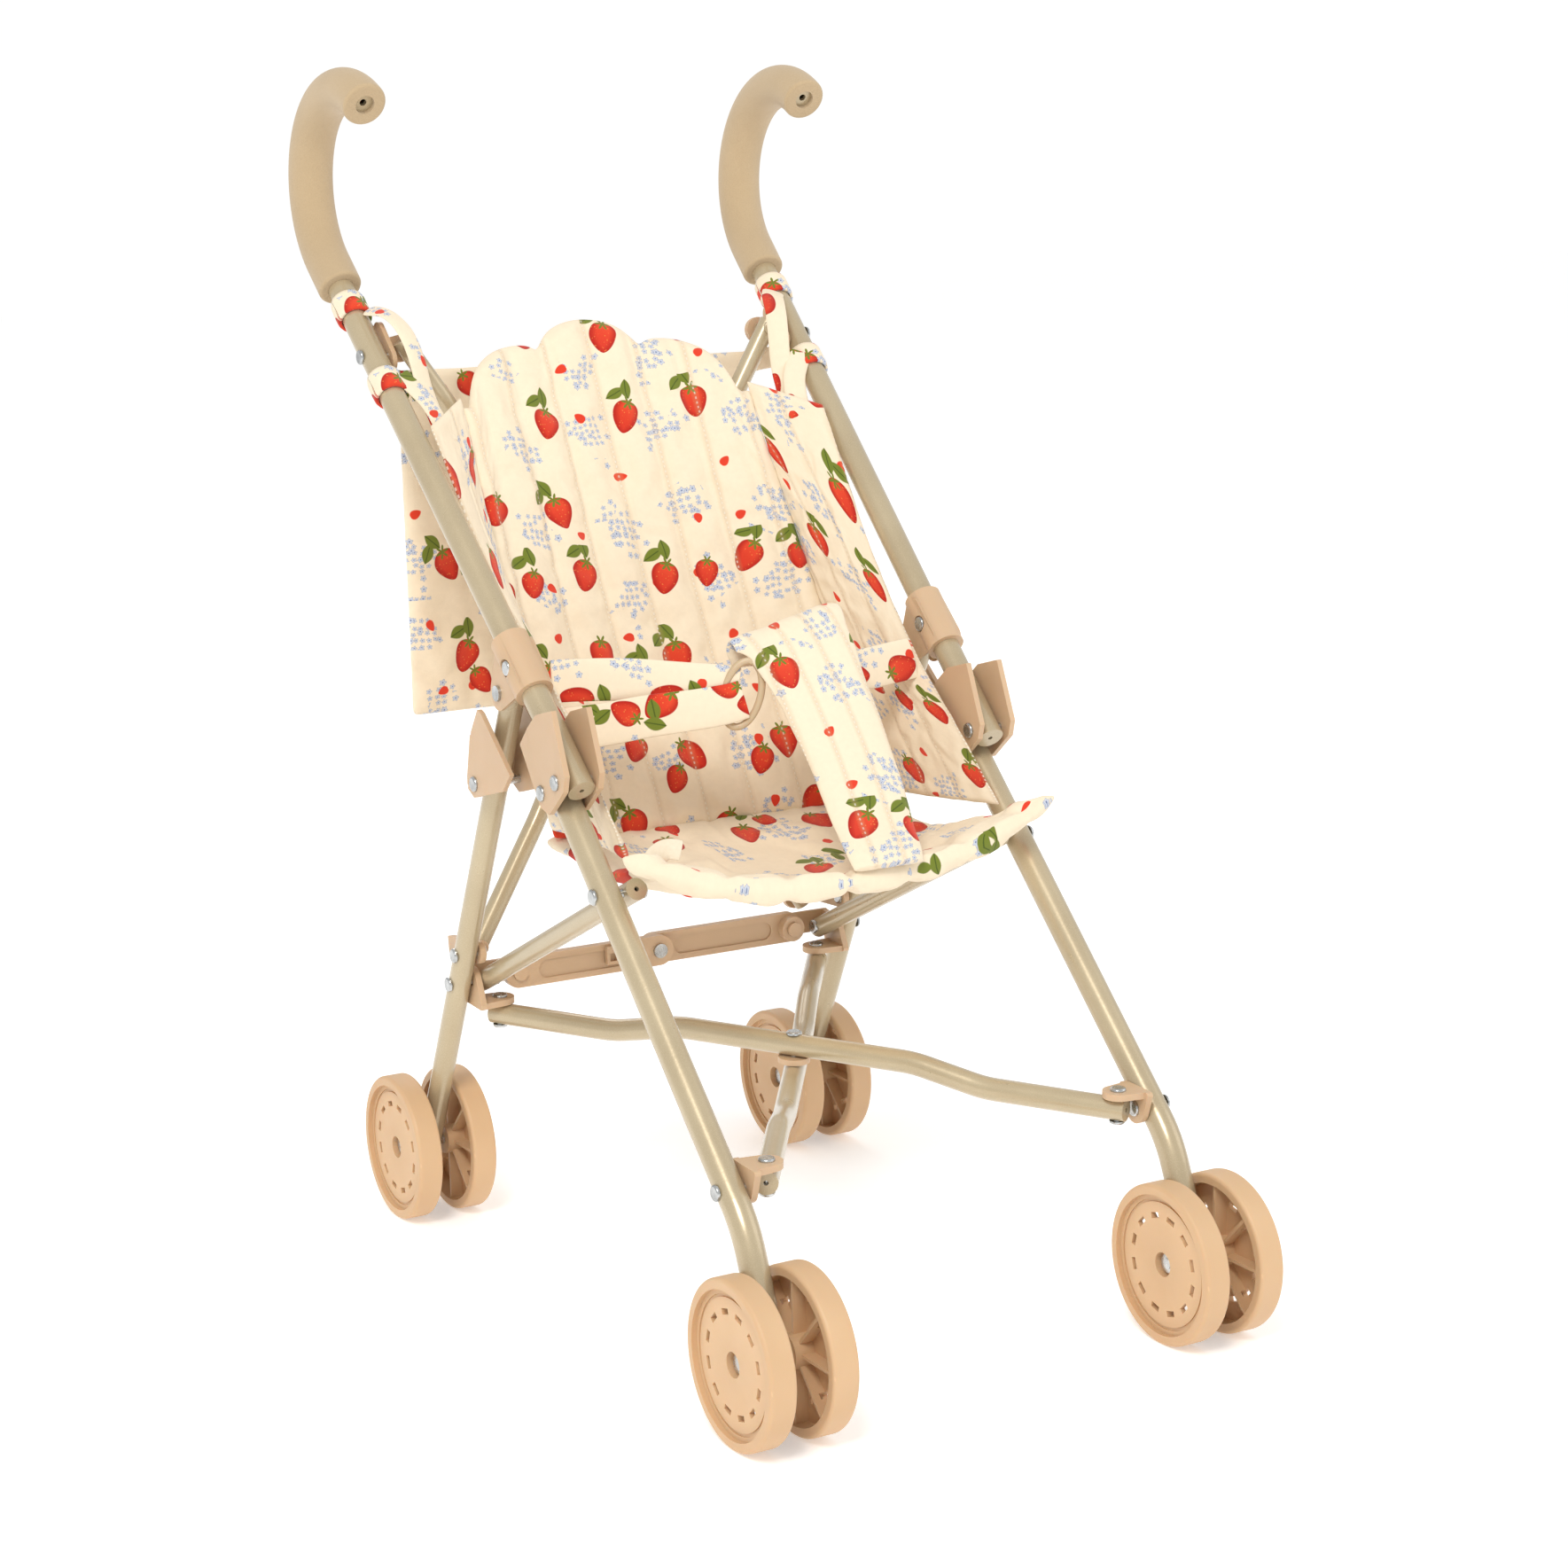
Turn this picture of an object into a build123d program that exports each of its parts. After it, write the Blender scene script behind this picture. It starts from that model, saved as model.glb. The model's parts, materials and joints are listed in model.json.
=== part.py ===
from build123d import *
import os
from math import atan2, cos, degrees, hypot, pi, radians, sin

# Folding doll stroller, millimetres. +X is the stroller's left-to-right axis seen from
# the front, +Y runs from the front wheels to the back, +Z is up and the floor is z = 0.
# Shapes are laid out with y = 0 on the front axle and moved by ORIGIN_Y when written,
# so that the row origin is the centre of the footprint on the floor.

os.makedirs("parts", exist_ok=True)

# ---- driving dimensions ---------------------------------------------------------------
ORIGIN_Y = 194.556         # front axle to the middle of the footprint
GAP = 0.3                 # clearance between parts that slide past each other
RUN = 0.08                # radial running clearance of pins and axles

# wheels
WHEEL_R = 36.0
WHEEL_W = 12.4
WHEEL_SPACE = 16.4        # clear space between the two wheels of a pair
FRONT_X = 107.0           # centre of a front leg and its wheel pair
REAR_X = 108.6            # centre of a rear leg and its wheel pair
REAR_AXLE_Y = 348.0
AXLE_R = 2.5

# tubes
LEG_R = 6.35              # front leg and handle tube
REAR_R = 5.5
LINK_R = 5.0
CROSS_R = 5.25
BACK_R = 4.75
WALL = 1.0
END_CAP = 2.0             # thickness of a closed tube end

# rivets
RIVET_R = 1.9
HEAD_R = 3.6
HEAD_H = 1.4

# side frame pivots as (y, z)
HANDLE_PIVOT = (164.0, 249.0)      # handle tube in the hinge bracket
LEG_TOP = (179.0, 242.0)           # front leg in the hinge bracket
LINK_FRONT = (138.5, 202.0)        # side link on the front leg
CROSS_FRONT = (32.4, 97.4)         # front cross bracket on the front leg
LEG_BEND = (19.6, 84.8)            # where the front leg turns down to its axle
FRONT_AXLE = (0.0, WHEEL_R)
REAR_TOP = (223.0, 281.0)          # rear leg in the handle collar
CRADLE_RIVET = (246.0, 236.0)
BACK_PIVOT = (292.8, 144.0)        # back bar bracket on the rear leg
CROSS_REAR = (301.0, 128.0)        # side link and rear cross bracket on the rear leg
REAR_AXLE = (REAR_AXLE_Y, WHEEL_R)

# handle
HANDLE_ANGLE = 43.3       # slope of the handle tube in the side view
HANDLE_SPLAY = 2.0        # outward lean of the handle tube
HOOK_START = 324.0        # distance from the handle pivot to the start of the hook
HOOK_R = 47.0
HOOK_ARC = 167.0
GRIP_START = 306.0
GRIP_R = 10.75
COLLAR_SPAN = (50.0, 81.0)
COLLAR_R = 8.9
TOP_BRACKET_AT = 266.0
TOP_RIVET_AT = 260.0

# cross frame under the seat: pins of the two crossing bars
CROSS_PIN_X = 89.0
CROSS_FRONT_PIN = (33.4, 98.4)
CROSS_REAR_PIN = (298.7, 110.4)
CROSS_LIFT = 6.85         # each bar's offset from the cross plane at the middle
TAB_T = 3.0

# cross frame behind the seat back
BACK_LOW_PIN = (91.0, 318.0, 140.0)
BACK_TOP_PIN = (99.0, 353.0, 431.0)
BACK_LIFT = 5.1

# folding strut between the rear legs
STRUT_PIN_X = 77.0
STRUT_PIN_Z = 128.5
STRUT_H = 15.2
STRUT_FRONT_Y = 300.2
STRUT_T = 4.6

# fabric
SEAT_HALF = 87.0
WING_X = (88.4, 93.0)
BACK_FOOT = (243.0, 203.0)         # seat back, lower edge (y, z)
BACK_HEAD = (364.0, 436.0)         # seat back, upper edge (y, z)


# ---- helpers --------------------------------------------------------------------------
def at(x, yz):
    """A point of the side view (y, z) placed at lateral position x."""
    return Vector(x, yz[0], yz[1])


def rod(start, end, radius):
    """A round bar between two points."""
    axis = end - start
    return extrude(Plane(origin=start, z_dir=axis) * Circle(radius), amount=axis.length)


def cross_rod(yz, x0, x1, radius):
    """A round bar along X through a point of the side view."""
    return rod(at(min(x0, x1), yz), at(max(x0, x1), yz), radius)


def rivet(start, end, shank=RIVET_R, head=HEAD_R):
    """A rivet whose heads sit outside the two given points."""
    axis = (end - start).normalized()
    body = rod(start - axis * HEAD_H, end + axis * HEAD_H, shank)
    for point, outward in ((start, axis * -1), (end, axis)):
        cap = rod(point, point + outward * HEAD_H, head)
        rim = cap.faces().sort_by(Axis(point, outward))[-1].edges()
        body += fillet(rim, HEAD_H * 0.7)
    return body


def along(start, toward, distance):
    """The point at a distance from start in the direction of toward."""
    return start + (toward - start).normalized() * distance


def tube(points, radius, bend=None):
    """A hollow tube with closed ends, each pierced by a small vent hole."""
    first, last = points[0], points[-1]
    inner = [along(first, points[1], END_CAP), *points[1:-1], along(last, points[-2], END_CAP)]
    outer_path = FilletPolyline(*points, radius=bend) if bend else Line(first, last)
    inner_path = FilletPolyline(*inner, radius=bend) if bend else Line(inner[0], inner[1])
    start = Plane(origin=first, z_dir=points[1] - first)
    inner_start = Plane(origin=inner[0], z_dir=points[1] - first)
    shell = sweep(start * Circle(radius), path=outer_path)
    shell -= sweep(inner_start * Circle(radius - WALL), path=inner_path)
    for end, inside in ((first, inner[0]), (last, inner[-1])):
        shell -= rod(end + (end - inside), inside + (inside - end) * 0.5, 1.1)
    return shell


def outline(*shapes):
    """The convex outline round circles ((y, z), radius) and points (y, z), as a face."""
    edges = Curve()
    for shape in shapes:
        if isinstance(shape[0], tuple):
            edges += Pos(*shape[0]) * CenterArc((0, 0), shape[1], 0, 360)
        else:
            edges += Pos(*shape) * CenterArc((0, 0), 0.6, 0, 360)
    return make_hull(edges.edges())


def plate(x0, x1, *shapes):
    """A plate in the side view between two X positions, from the outline of its shapes."""
    side = Plane(origin=(x0, 0, 0), x_dir=(0, 1, 0), z_dir=(1, 0, 0))
    return extrude(side * outline(*shapes), amount=x1 - x0)


written = {}


def save(name, shape):
    """Write a node, moved into the row frame."""
    solids = shape.solids()
    part = solids[0] if len(solids) == 1 else Compound(children=solids)
    part = Pos(0, -ORIGIN_Y, 0) * part
    part.label = name
    export_step(part, f"parts/{name}.step")
    written[name] = len(solids)


def save_pair(name, shape):
    """Write a right-hand part and its mirror image on the left."""
    save(f"{name}_right", shape)
    save(f"{name}_left", mirror(shape, about=Plane.YZ))


# ---- local frames ---------------------------------------------------------------------
# handle frame: x along the tube from the pivot, y up and forward, z lateral
slope = radians(HANDLE_ANGLE)
splay = radians(HANDLE_SPLAY)
handle_dir = Vector(sin(splay), cos(splay) * cos(slope), cos(splay) * sin(slope))
handle_up = Vector(0, -sin(slope), cos(slope))
HANDLE = Plane(origin=at(FRONT_X, HANDLE_PIVOT), x_dir=handle_dir, z_dir=handle_dir.cross(handle_up))

# cross plane: x lateral, y towards the back, z its normal
span_y = CROSS_REAR_PIN[0] - CROSS_FRONT_PIN[0]
span_z = CROSS_REAR_PIN[1] - CROSS_FRONT_PIN[1]
tilt = atan2(span_z, span_y)
cross_half = hypot(span_y, span_z) / 2
middle = ((CROSS_FRONT_PIN[0] + CROSS_REAR_PIN[0]) / 2, (CROSS_FRONT_PIN[1] + CROSS_REAR_PIN[1]) / 2)
CROSS = Plane(origin=at(0, middle), x_dir=(1, 0, 0), z_dir=(0, -sin(tilt), cos(tilt)))

# back plane: x lateral, y up along the back bars, z forward
back_rise = Vector(0, BACK_TOP_PIN[1] - BACK_LOW_PIN[1], BACK_TOP_PIN[2] - BACK_LOW_PIN[2])
back_half = back_rise.length / 2
back_dir = back_rise.normalized()
BACK = Plane(
    origin=(0, (BACK_TOP_PIN[1] + BACK_LOW_PIN[1]) / 2, (BACK_TOP_PIN[2] + BACK_LOW_PIN[2]) / 2),
    x_dir=(1, 0, 0), z_dir=Vector(1, 0, 0).cross(back_dir))


def spot(plane, x, y, z):
    """World position of a point given in a local frame."""
    return plane.from_local_coords(Vector(x, y, z))


def handle_at(distance, up=0.0, side=0.0):
    return spot(HANDLE, distance, up, side)


# ---- wheels ---------------------------------------------------------------------------
RIM_T = 4.6               # radial thickness of the tread ring
DISC = (7.6, 10.0)        # the disc lies between these depths from the inner face
HUB_R = 7.5
HUB_POCKET_R = 5.5
HUB_REACH = 1.3           # the hub stands this far out of the inner face
SLOT_RING_R = 21.8
RIBS = 8


def wheel():
    """A wheel along +X: inner face at x = 0, outer face at x = WHEEL_W."""
    face = Plane.YZ
    rim = extrude(face * (Circle(WHEEL_R) - Circle(WHEEL_R - RIM_T)), amount=WHEEL_W)
    rim = fillet(rim.edges().filter_by(GeomType.CIRCLE).group_by(SortBy.RADIUS)[-1], 1.8)
    disc = extrude(face.offset(DISC[0]) * Circle(WHEEL_R - RIM_T + 0.5), amount=DISC[1] - DISC[0])
    disc -= extrude(face.offset(DISC[1] - 0.7) * (Circle(29.3) - Circle(27.9)), amount=2)
    hub = extrude(face.offset(-HUB_REACH) * Circle(HUB_R), amount=DISC[0] + HUB_REACH + 0.5)
    ribs = extrude(face.offset(1.6) * Rectangle(1.4, 2 * (WHEEL_R - RIM_T) + 0.6), amount=DISC[0] - 1.1)
    body = rim + disc + hub
    for index in range(RIBS // 2):
        body += Rot(X=index * 360 / RIBS) * ribs
    slot = Pos(DISC[0] + 1, 0, SLOT_RING_R) * Box(8, 5.4, 2.6)
    for index in range(12):
        body -= Rot(X=15 + index * 30) * slot
    body -= extrude(face.offset(6.4) * Circle(HUB_POCKET_R), amount=8)
    body -= extrude(face.offset(-5) * Circle(AXLE_R + RUN), amount=20)
    return body


def axle(x, yz):
    """An axle through a leg, with a push-on cap in each hub pocket."""
    reach = WHEEL_SPACE / 2 + 6.5
    pin = cross_rod(yz, x - reach - 1.4, x + reach + 1.4, AXLE_R)
    for side in (-1, 1):
        pin += cross_rod(yz, x + side * reach, x + side * (reach + 1.2), 4.2)
    return pin


wheel_solid = wheel()
for end, leg_x, axle_at in (("front", FRONT_X, FRONT_AXLE), ("rear", REAR_X, REAR_AXLE)):
    outer = Pos(leg_x + WHEEL_SPACE / 2, *axle_at) * wheel_solid
    inner = Pos(leg_x - WHEEL_SPACE / 2, *axle_at) * mirror(wheel_solid, about=Plane.YZ)
    save_pair(f"wheel_{end}_outer", outer)
    save_pair(f"wheel_{end}_inner", inner)

# ---- front leg ------------------------------------------------------------------------
leg_top = at(FRONT_X, LEG_TOP)
leg_bend = at(FRONT_X, LEG_BEND)
front_axle = at(FRONT_X, FRONT_AXLE)
leg_points = [along(leg_top, leg_bend, -6), leg_bend, along(front_axle, leg_bend, -6.5)]
front_leg = tube(leg_points, LEG_R, bend=55)
for pivot in (LEG_TOP, LINK_FRONT, CROSS_FRONT):
    front_leg -= cross_rod(pivot, FRONT_X - 12, FRONT_X + 12, RIVET_R)
front_leg -= cross_rod(FRONT_AXLE, FRONT_X - 12, FRONT_X + 12, AXLE_R)
save_pair("front_leg", front_leg)

# hinge bracket: a channel open to the front that holds the leg and the handle tube
# (the outer cheek stands further off, because the handle tube leans outwards)
BRACKET_IN = (6.7, 7.8)       # inner and outer cheek's distance from the leg's centre
BRACKET_OUT = (9.3, 10.4)
bracket_shape = ((182, 276), (166, 280), (155, 253), (157, 246), (172, 234), (180, 236), (199, 261), (191, 269))
bracket_web = ((186.5, 244.5), (199, 261), (197, 262), (185, 246))
hinge_bracket = plate(FRONT_X - BRACKET_OUT[0], FRONT_X - BRACKET_IN[0], *bracket_shape)
hinge_bracket += plate(FRONT_X + BRACKET_IN[1], FRONT_X + BRACKET_OUT[1], *bracket_shape)
hinge_bracket += plate(FRONT_X - BRACKET_OUT[0], FRONT_X + BRACKET_OUT[1], *bracket_web)
for pivot in (HANDLE_PIVOT, LEG_TOP):
    hinge_bracket -= cross_rod(pivot, FRONT_X - 12, FRONT_X + 12, RIVET_R)
save_pair("hinge_bracket", hinge_bracket)

LINK_X = FRONT_X - LEG_R - 1.15 - LINK_R
front_pins = axle(FRONT_X, FRONT_AXLE)
for pivot in (HANDLE_PIVOT, LEG_TOP):
    front_pins += rivet(at(FRONT_X - BRACKET_OUT[0], pivot), at(FRONT_X + BRACKET_OUT[1], pivot))
front_pins += rivet(at(LINK_X - LINK_R, LINK_FRONT), at(FRONT_X + LEG_R, LINK_FRONT))
front_pins += rivet(at(FRONT_X - LEG_R - 3.3, CROSS_FRONT), at(FRONT_X + LEG_R, CROSS_FRONT))
save_pair("front_pins", front_pins)

# ---- side link ------------------------------------------------------------------------
link_front = at(LINK_X, LINK_FRONT)
link_rear = at(LINK_X, CROSS_REAR)
side_link = tube([along(link_front, link_rear, -5), along(link_rear, link_front, -5)], LINK_R)
side_link -= cross_rod(LINK_FRONT, LINK_X - 8, LINK_X + 8, RIVET_R + RUN)
side_link -= cross_rod(CROSS_REAR, LINK_X - 8, LINK_X + 8, RIVET_R + RUN)
save_pair("side_link", side_link)

# ---- rear leg -------------------------------------------------------------------------
rear_top = at(REAR_X, REAR_TOP)
rear_axle = at(REAR_X, REAR_AXLE)
rear_leg = tube([along(rear_top, rear_axle, -4), along(rear_axle, rear_top, -6.5)], REAR_R)
for pivot in (CRADLE_RIVET, BACK_PIVOT, CROSS_REAR):
    rear_leg -= cross_rod(pivot, REAR_X - 12, REAR_X + 12, RIVET_R)
rear_leg -= cross_rod(REAR_AXLE, REAR_X - 12, REAR_X + 12, AXLE_R)
save_pair("rear_leg", rear_leg)

# cradle: two triangular cheeks round the rear leg's top, joined behind it
CRADLE_IN = (9.6, 10.9)       # inner and outer cheek's distance from the front leg's centre
CRADLE_OUT = (11.8, 13.1)
cradle_shape = ((239, 271), (236, 270), (207, 246), (215, 238), (247, 230), (253, 233), (247, 260))
leg_dir = (rear_axle - rear_top).normalized()
cradle_web = ((248.5, 258), (253.6, 238), (253.6, 235), (247, 257))
cradle = plate(FRONT_X - CRADLE_OUT[0], FRONT_X - CRADLE_IN[0], *cradle_shape)
cradle += plate(FRONT_X + CRADLE_IN[1], FRONT_X + CRADLE_OUT[1], *cradle_shape)
cradle += plate(FRONT_X - CRADLE_OUT[0], FRONT_X + CRADLE_OUT[1], *cradle_web)
cradle -= cross_rod(CRADLE_RIVET, FRONT_X - 14, FRONT_X + 14, RIVET_R)
save_pair("rear_cradle", cradle)

PLATE_X = (REAR_X - REAR_R - 3.3, REAR_X - REAR_R - GAP)     # bracket plates beside the rear leg
rear_pins = axle(REAR_X, REAR_AXLE)
rear_pins += rivet(at(FRONT_X - CRADLE_OUT[0], CRADLE_RIVET), at(FRONT_X + CRADLE_OUT[1], CRADLE_RIVET))
rear_pins += rivet(at(LINK_X - LINK_R, CROSS_REAR), at(REAR_X + REAR_R, CROSS_REAR))
rear_pins += rivet(at(PLATE_X[0], BACK_PIVOT), at(REAR_X + REAR_R, BACK_PIVOT))
save_pair("rear_pins", rear_pins)

# ---- handle ---------------------------------------------------------------------------
hook_centre = handle_at(HOOK_START, HOOK_R)
hook_axis = Axis(hook_centre, HANDLE.z_dir)


def handle_sweep(start, radius, arc=HOOK_ARC):
    """A solid rod run along the handle from a distance on, round the hook."""
    straight_face = Plane(origin=handle_at(start), z_dir=handle_dir)
    hook_face = Plane(origin=handle_at(HOOK_START), z_dir=handle_dir)
    straight = extrude(straight_face * Circle(radius), amount=HOOK_START - start)
    return straight + revolve(hook_face * Circle(radius), axis=hook_axis, revolution_arc=arc)


hook_turn = radians(HOOK_ARC)
hook_end = handle_at(HOOK_START + HOOK_R * sin(hook_turn), HOOK_R - HOOK_R * cos(hook_turn))
hook_out = handle_dir * cos(hook_turn) + handle_up * sin(hook_turn)
handle_tube = handle_sweep(-6, LEG_R) - handle_sweep(-6 + END_CAP, LEG_R - WALL, HOOK_ARC - 2.5)
handle_tube -= rod(handle_at(-8), handle_at(0), 1.1)
handle_tube -= rod(hook_end - hook_out * 6, hook_end + hook_out, 1.7)
handle_tube -= cross_rod(HANDLE_PIVOT, FRONT_X - 12, FRONT_X + 12, RIVET_R + RUN)

collar_rivet_at = handle_at(65.5)
collar_yz = (collar_rivet_at.Y, collar_rivet_at.Z)
top_rivet_at = handle_at(TOP_RIVET_AT)
top_yz = (top_rivet_at.Y, top_rivet_at.Z)
handle_tube -= cross_rod(collar_yz, FRONT_X - 14, FRONT_X + 18, RIVET_R)
handle_tube -= cross_rod(top_yz, FRONT_X - 14, FRONT_X + 26, RIVET_R)
save_pair("handle_tube", handle_tube)

# foam grip, open at its end round the tube's end cap
grip_lip = 2.5
grip = handle_sweep(GRIP_START, GRIP_R) - handle_sweep(GRIP_START - 2, LEG_R + 0.05)
grip += rod(hook_end, hook_end + hook_out * grip_lip, GRIP_R) - rod(hook_end, hook_end + hook_out * grip_lip, 4.7)
grip_ends = (handle_at(GRIP_START), hook_end + hook_out * grip_lip)
grip_rims = grip.edges().filter_by(
    lambda edge: edge.geom_type == GeomType.CIRCLE
    and abs(edge.radius - GRIP_R) < 0.01
    and min((edge.arc_center - end).length for end in grip_ends) < 0.01)
save_pair("handle_grip", fillet(grip_rims, 1.6))

# collar on the handle tube with two flanges that hold the rear leg
FLANGE_IN = 6.1
FLANGE_OUT = 7.6
FLANGE_X = FRONT_X + 1.95
low_yz = (handle_at(COLLAR_SPAN[0] + 6).Y, handle_at(COLLAR_SPAN[0] + 6).Z)
high_yz = (handle_at(COLLAR_SPAN[1] - 6).Y, handle_at(COLLAR_SPAN[1] - 6).Z)
bore = rod(handle_at(COLLAR_SPAN[0] - 5), handle_at(COLLAR_SPAN[1] + 5), LEG_R)
collar = rod(handle_at(COLLAR_SPAN[0]), handle_at(COLLAR_SPAN[1]), COLLAR_R)
for side in (-1, 1):
    x_in, x_out = FLANGE_X + side * FLANGE_IN, FLANGE_X + side * FLANGE_OUT
    collar += plate(min(x_in, x_out), max(x_in, x_out), (low_yz, 5.6), (high_yz, 5.6), (REAR_TOP, 8.0))
collar -= bore
collar -= cross_rod(collar_yz, FRONT_X - 14, FRONT_X + 18, RIVET_R)
collar -= cross_rod(REAR_TOP, FRONT_X - 14, FRONT_X + 18, RIVET_R)
for side in (-1, 1):
    seat_x = FLANGE_X + side * FLANGE_OUT
    collar -= cross_rod(collar_yz, seat_x, seat_x + side * 5, HEAD_R + 0.5)
save_pair("handle_collar", collar)

# top bracket: a lug on the inside of the handle tube with a tab behind the back bar
LUG_X = (FRONT_X - 0.1, FRONT_X + 2.1)
LUG_RECESS = 0.8          # the rivet's head is let into the lug by this much
lug_low = handle_at(TOP_BRACKET_AT - 9)
lug_high = handle_at(TOP_BRACKET_AT + 9)
top_bracket = plate(*LUG_X, ((lug_low.Y, lug_low.Z), 5.5), ((lug_high.Y, lug_high.Z), 5.5))
tab_back = BACK_R + 2.5
tab_face = BACK.offset(-tab_back - TAB_T)
tab_outline = make_hull((
    Pos(BACK_TOP_PIN[0], back_half) * CenterArc((0, 0), 6.5, 0, 360)
    + Pos(LUG_X[1] - 0.7, back_half + 4) * CenterArc((0, 0), 0.6, 0, 360)
    + Pos(LUG_X[1] - 0.7, back_half - 5) * CenterArc((0, 0), 0.6, 0, 360)).edges())
top_bracket += extrude(tab_face * tab_outline, amount=TAB_T)
top_bracket -= cross_rod(top_yz, FRONT_X - 14, FRONT_X + 26, RIVET_R)
top_bracket -= cross_rod(top_yz, LUG_X[0] - 2, LUG_X[0] + LUG_RECESS, HEAD_R)
save_pair("top_bracket", top_bracket)

handle_rivets = rivet(at(FLANGE_X - FLANGE_OUT, collar_yz), at(FLANGE_X + FLANGE_OUT, collar_yz))
handle_rivets += rivet(at(LUG_X[0] + LUG_RECESS, top_yz), at(top_rivet_at.X + LEG_R, top_yz))
for side in (-1, 1):
    outer_face = FLANGE_X + side * FLANGE_OUT
    stub = cross_rod(REAR_TOP, outer_face, outer_face - side * (FLANGE_OUT - FLANGE_IN), RIVET_R)
    handle_rivets += stub + cross_rod(REAR_TOP, outer_face, outer_face + side * HEAD_H, HEAD_R)
save_pair("handle_rivets", handle_rivets)

# ---- cross frame under the seat -------------------------------------------------------
bar_half = hypot(CROSS_PIN_X, cross_half)
bar_turn = degrees(atan2(CROSS_PIN_X, cross_half))


def crossing_bar(plane, turn, half, lift, radius, overhang, bend):
    """A tube in a local plane, stepped out of it by lift where it crosses the other one."""
    frame = plane * Rot(Z=turn)
    stations = ((-half - overhang, 0), (-0.6 * half, 0), (-0.38 * half, lift),
                (0.38 * half, lift), (0.6 * half, 0), (half + overhang, 0))
    points = [(frame * Pos(0, y, z)).position for y, z in stations]
    return tube(points, radius, bend=bend)


def cross_pin(side, end, overhang_low, overhang_high):
    """The upright rivet through a cross bar's end and its bracket tab."""
    y = end * cross_half
    low = spot(CROSS, side * CROSS_PIN_X, y, -CROSS_R - overhang_low)
    high = spot(CROSS, side * CROSS_PIN_X, y, CROSS_R + overhang_high)
    return low, high


for name, turn, lift in (("upper", bar_turn, CROSS_LIFT), ("lower", -bar_turn, -CROSS_LIFT)):
    bar = crossing_bar(CROSS, turn, bar_half, lift, CROSS_R, 4, 60)
    ends = ((-1, 1), (1, -1)) if name == "upper" else ((1, 1), (-1, -1))
    rivets = Part()
    for side, end in ends:
        bar -= rod(*cross_pin(side, end, 3, 3), RIVET_R)
        rivets += rivet(*cross_pin(side, end, 0, GAP + TAB_T))
    bar -= rod(spot(CROSS, 0, 0, -20), spot(CROSS, 0, 0, 20), RIVET_R + RUN)
    save(f"cross_bar_{name}", bar)
    save(f"cross_rivets_{name}", rivets)

pivot_reach = CROSS_LIFT + CROSS_R
save("cross_pivot_rivet", rivet(spot(CROSS, 0, 0, -pivot_reach), spot(CROSS, 0, 0, pivot_reach)))
spacer_half = CROSS_LIFT - CROSS_R - GAP
spacer = rod(spot(CROSS, 0, 0, -spacer_half), spot(CROSS, 0, 0, spacer_half), 7.5)
save("cross_spacer", spacer - rod(spot(CROSS, 0, 0, -20), spot(CROSS, 0, 0, 20), RIVET_R))


def cross_bracket_tab(end, plate_x):
    """The horizontal tab over a cross bar's end, reaching to the bracket's plate."""
    y = end * cross_half
    shape = make_hull((
        Pos(CROSS_PIN_X, y) * CenterArc((0, 0), 7, 0, 360)
        + Pos(plate_x - 0.6, y + 8) * CenterArc((0, 0), 0.6, 0, 360)
        + Pos(plate_x - 0.6, y - 8) * CenterArc((0, 0), 0.6, 0, 360)).edges())
    return extrude(CROSS.offset(CROSS_R + GAP) * shape, amount=TAB_T)


def tab_edge(end, dy):
    """Side view position of the tab's mid thickness at an offset from its pin."""
    point = spot(CROSS, 0, end * cross_half + dy, CROSS_R + GAP + TAB_T / 2)
    return (point.Y, point.Z), TAB_T / 2


front_plate_x = (FRONT_X - LEG_R - 3.3, FRONT_X - LEG_R - GAP)
front_cross = plate(*front_plate_x, (CROSS_FRONT, 6.8), tab_edge(-1, -9), tab_edge(-1, 9))
front_cross += cross_bracket_tab(-1, front_plate_x[1])
front_cross -= cross_rod(CROSS_FRONT, FRONT_X - 20, FRONT_X + 20, RIVET_R + RUN)
front_cross -= rod(*cross_pin(1, -1, 3, 6), RIVET_R + RUN)
save_pair("cross_bracket_front", front_cross)

# the rear bracket's rivet hole is a slot: the linkage closes here with some play
EAR_Y = (STRUT_FRONT_Y + 2 * STRUT_T + 2 * GAP, STRUT_FRONT_Y + 2 * STRUT_T + 2 * GAP + 2.2)
slot_end = (CROSS_REAR[0] + 3.2, CROSS_REAR[1] - 0.9)
rear_cross = plate(*PLATE_X, (CROSS_REAR, 6.8), (slot_end, 6.0), tab_edge(1, -8), tab_edge(1, 8))
rear_cross += plate(*PLATE_X, ((303, 127), 5.5), (EAR_Y[1] - 0.6, 133.5), (EAR_Y[1] - 0.6, 123.5))
rear_cross += cross_bracket_tab(1, PLATE_X[1])
ear_shape = make_hull((
    Pos(STRUT_PIN_X, STRUT_PIN_Z) * CenterArc((0, 0), 5.6, 0, 360)
    + Pos(PLATE_X[1] - 0.6, 133.5) * CenterArc((0, 0), 0.6, 0, 360)
    + Pos(PLATE_X[1] - 0.6, 123.5) * CenterArc((0, 0), 0.6, 0, 360)).edges())
ear_face = Plane(origin=(0, EAR_Y[1], 0), x_dir=(1, 0, 0), z_dir=(0, -1, 0))
rear_cross += extrude(ear_face * ear_shape, amount=EAR_Y[1] - EAR_Y[0])
stud_front = STRUT_FRONT_Y - 0.4
rear_cross += rod(Vector(STRUT_PIN_X, EAR_Y[1], STRUT_PIN_Z), Vector(STRUT_PIN_X, stud_front, STRUT_PIN_Z), 2.4)
rear_cross += rod(Vector(STRUT_PIN_X, stud_front, STRUT_PIN_Z), Vector(STRUT_PIN_X, stud_front - 1.4, STRUT_PIN_Z), 3.6)
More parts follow.
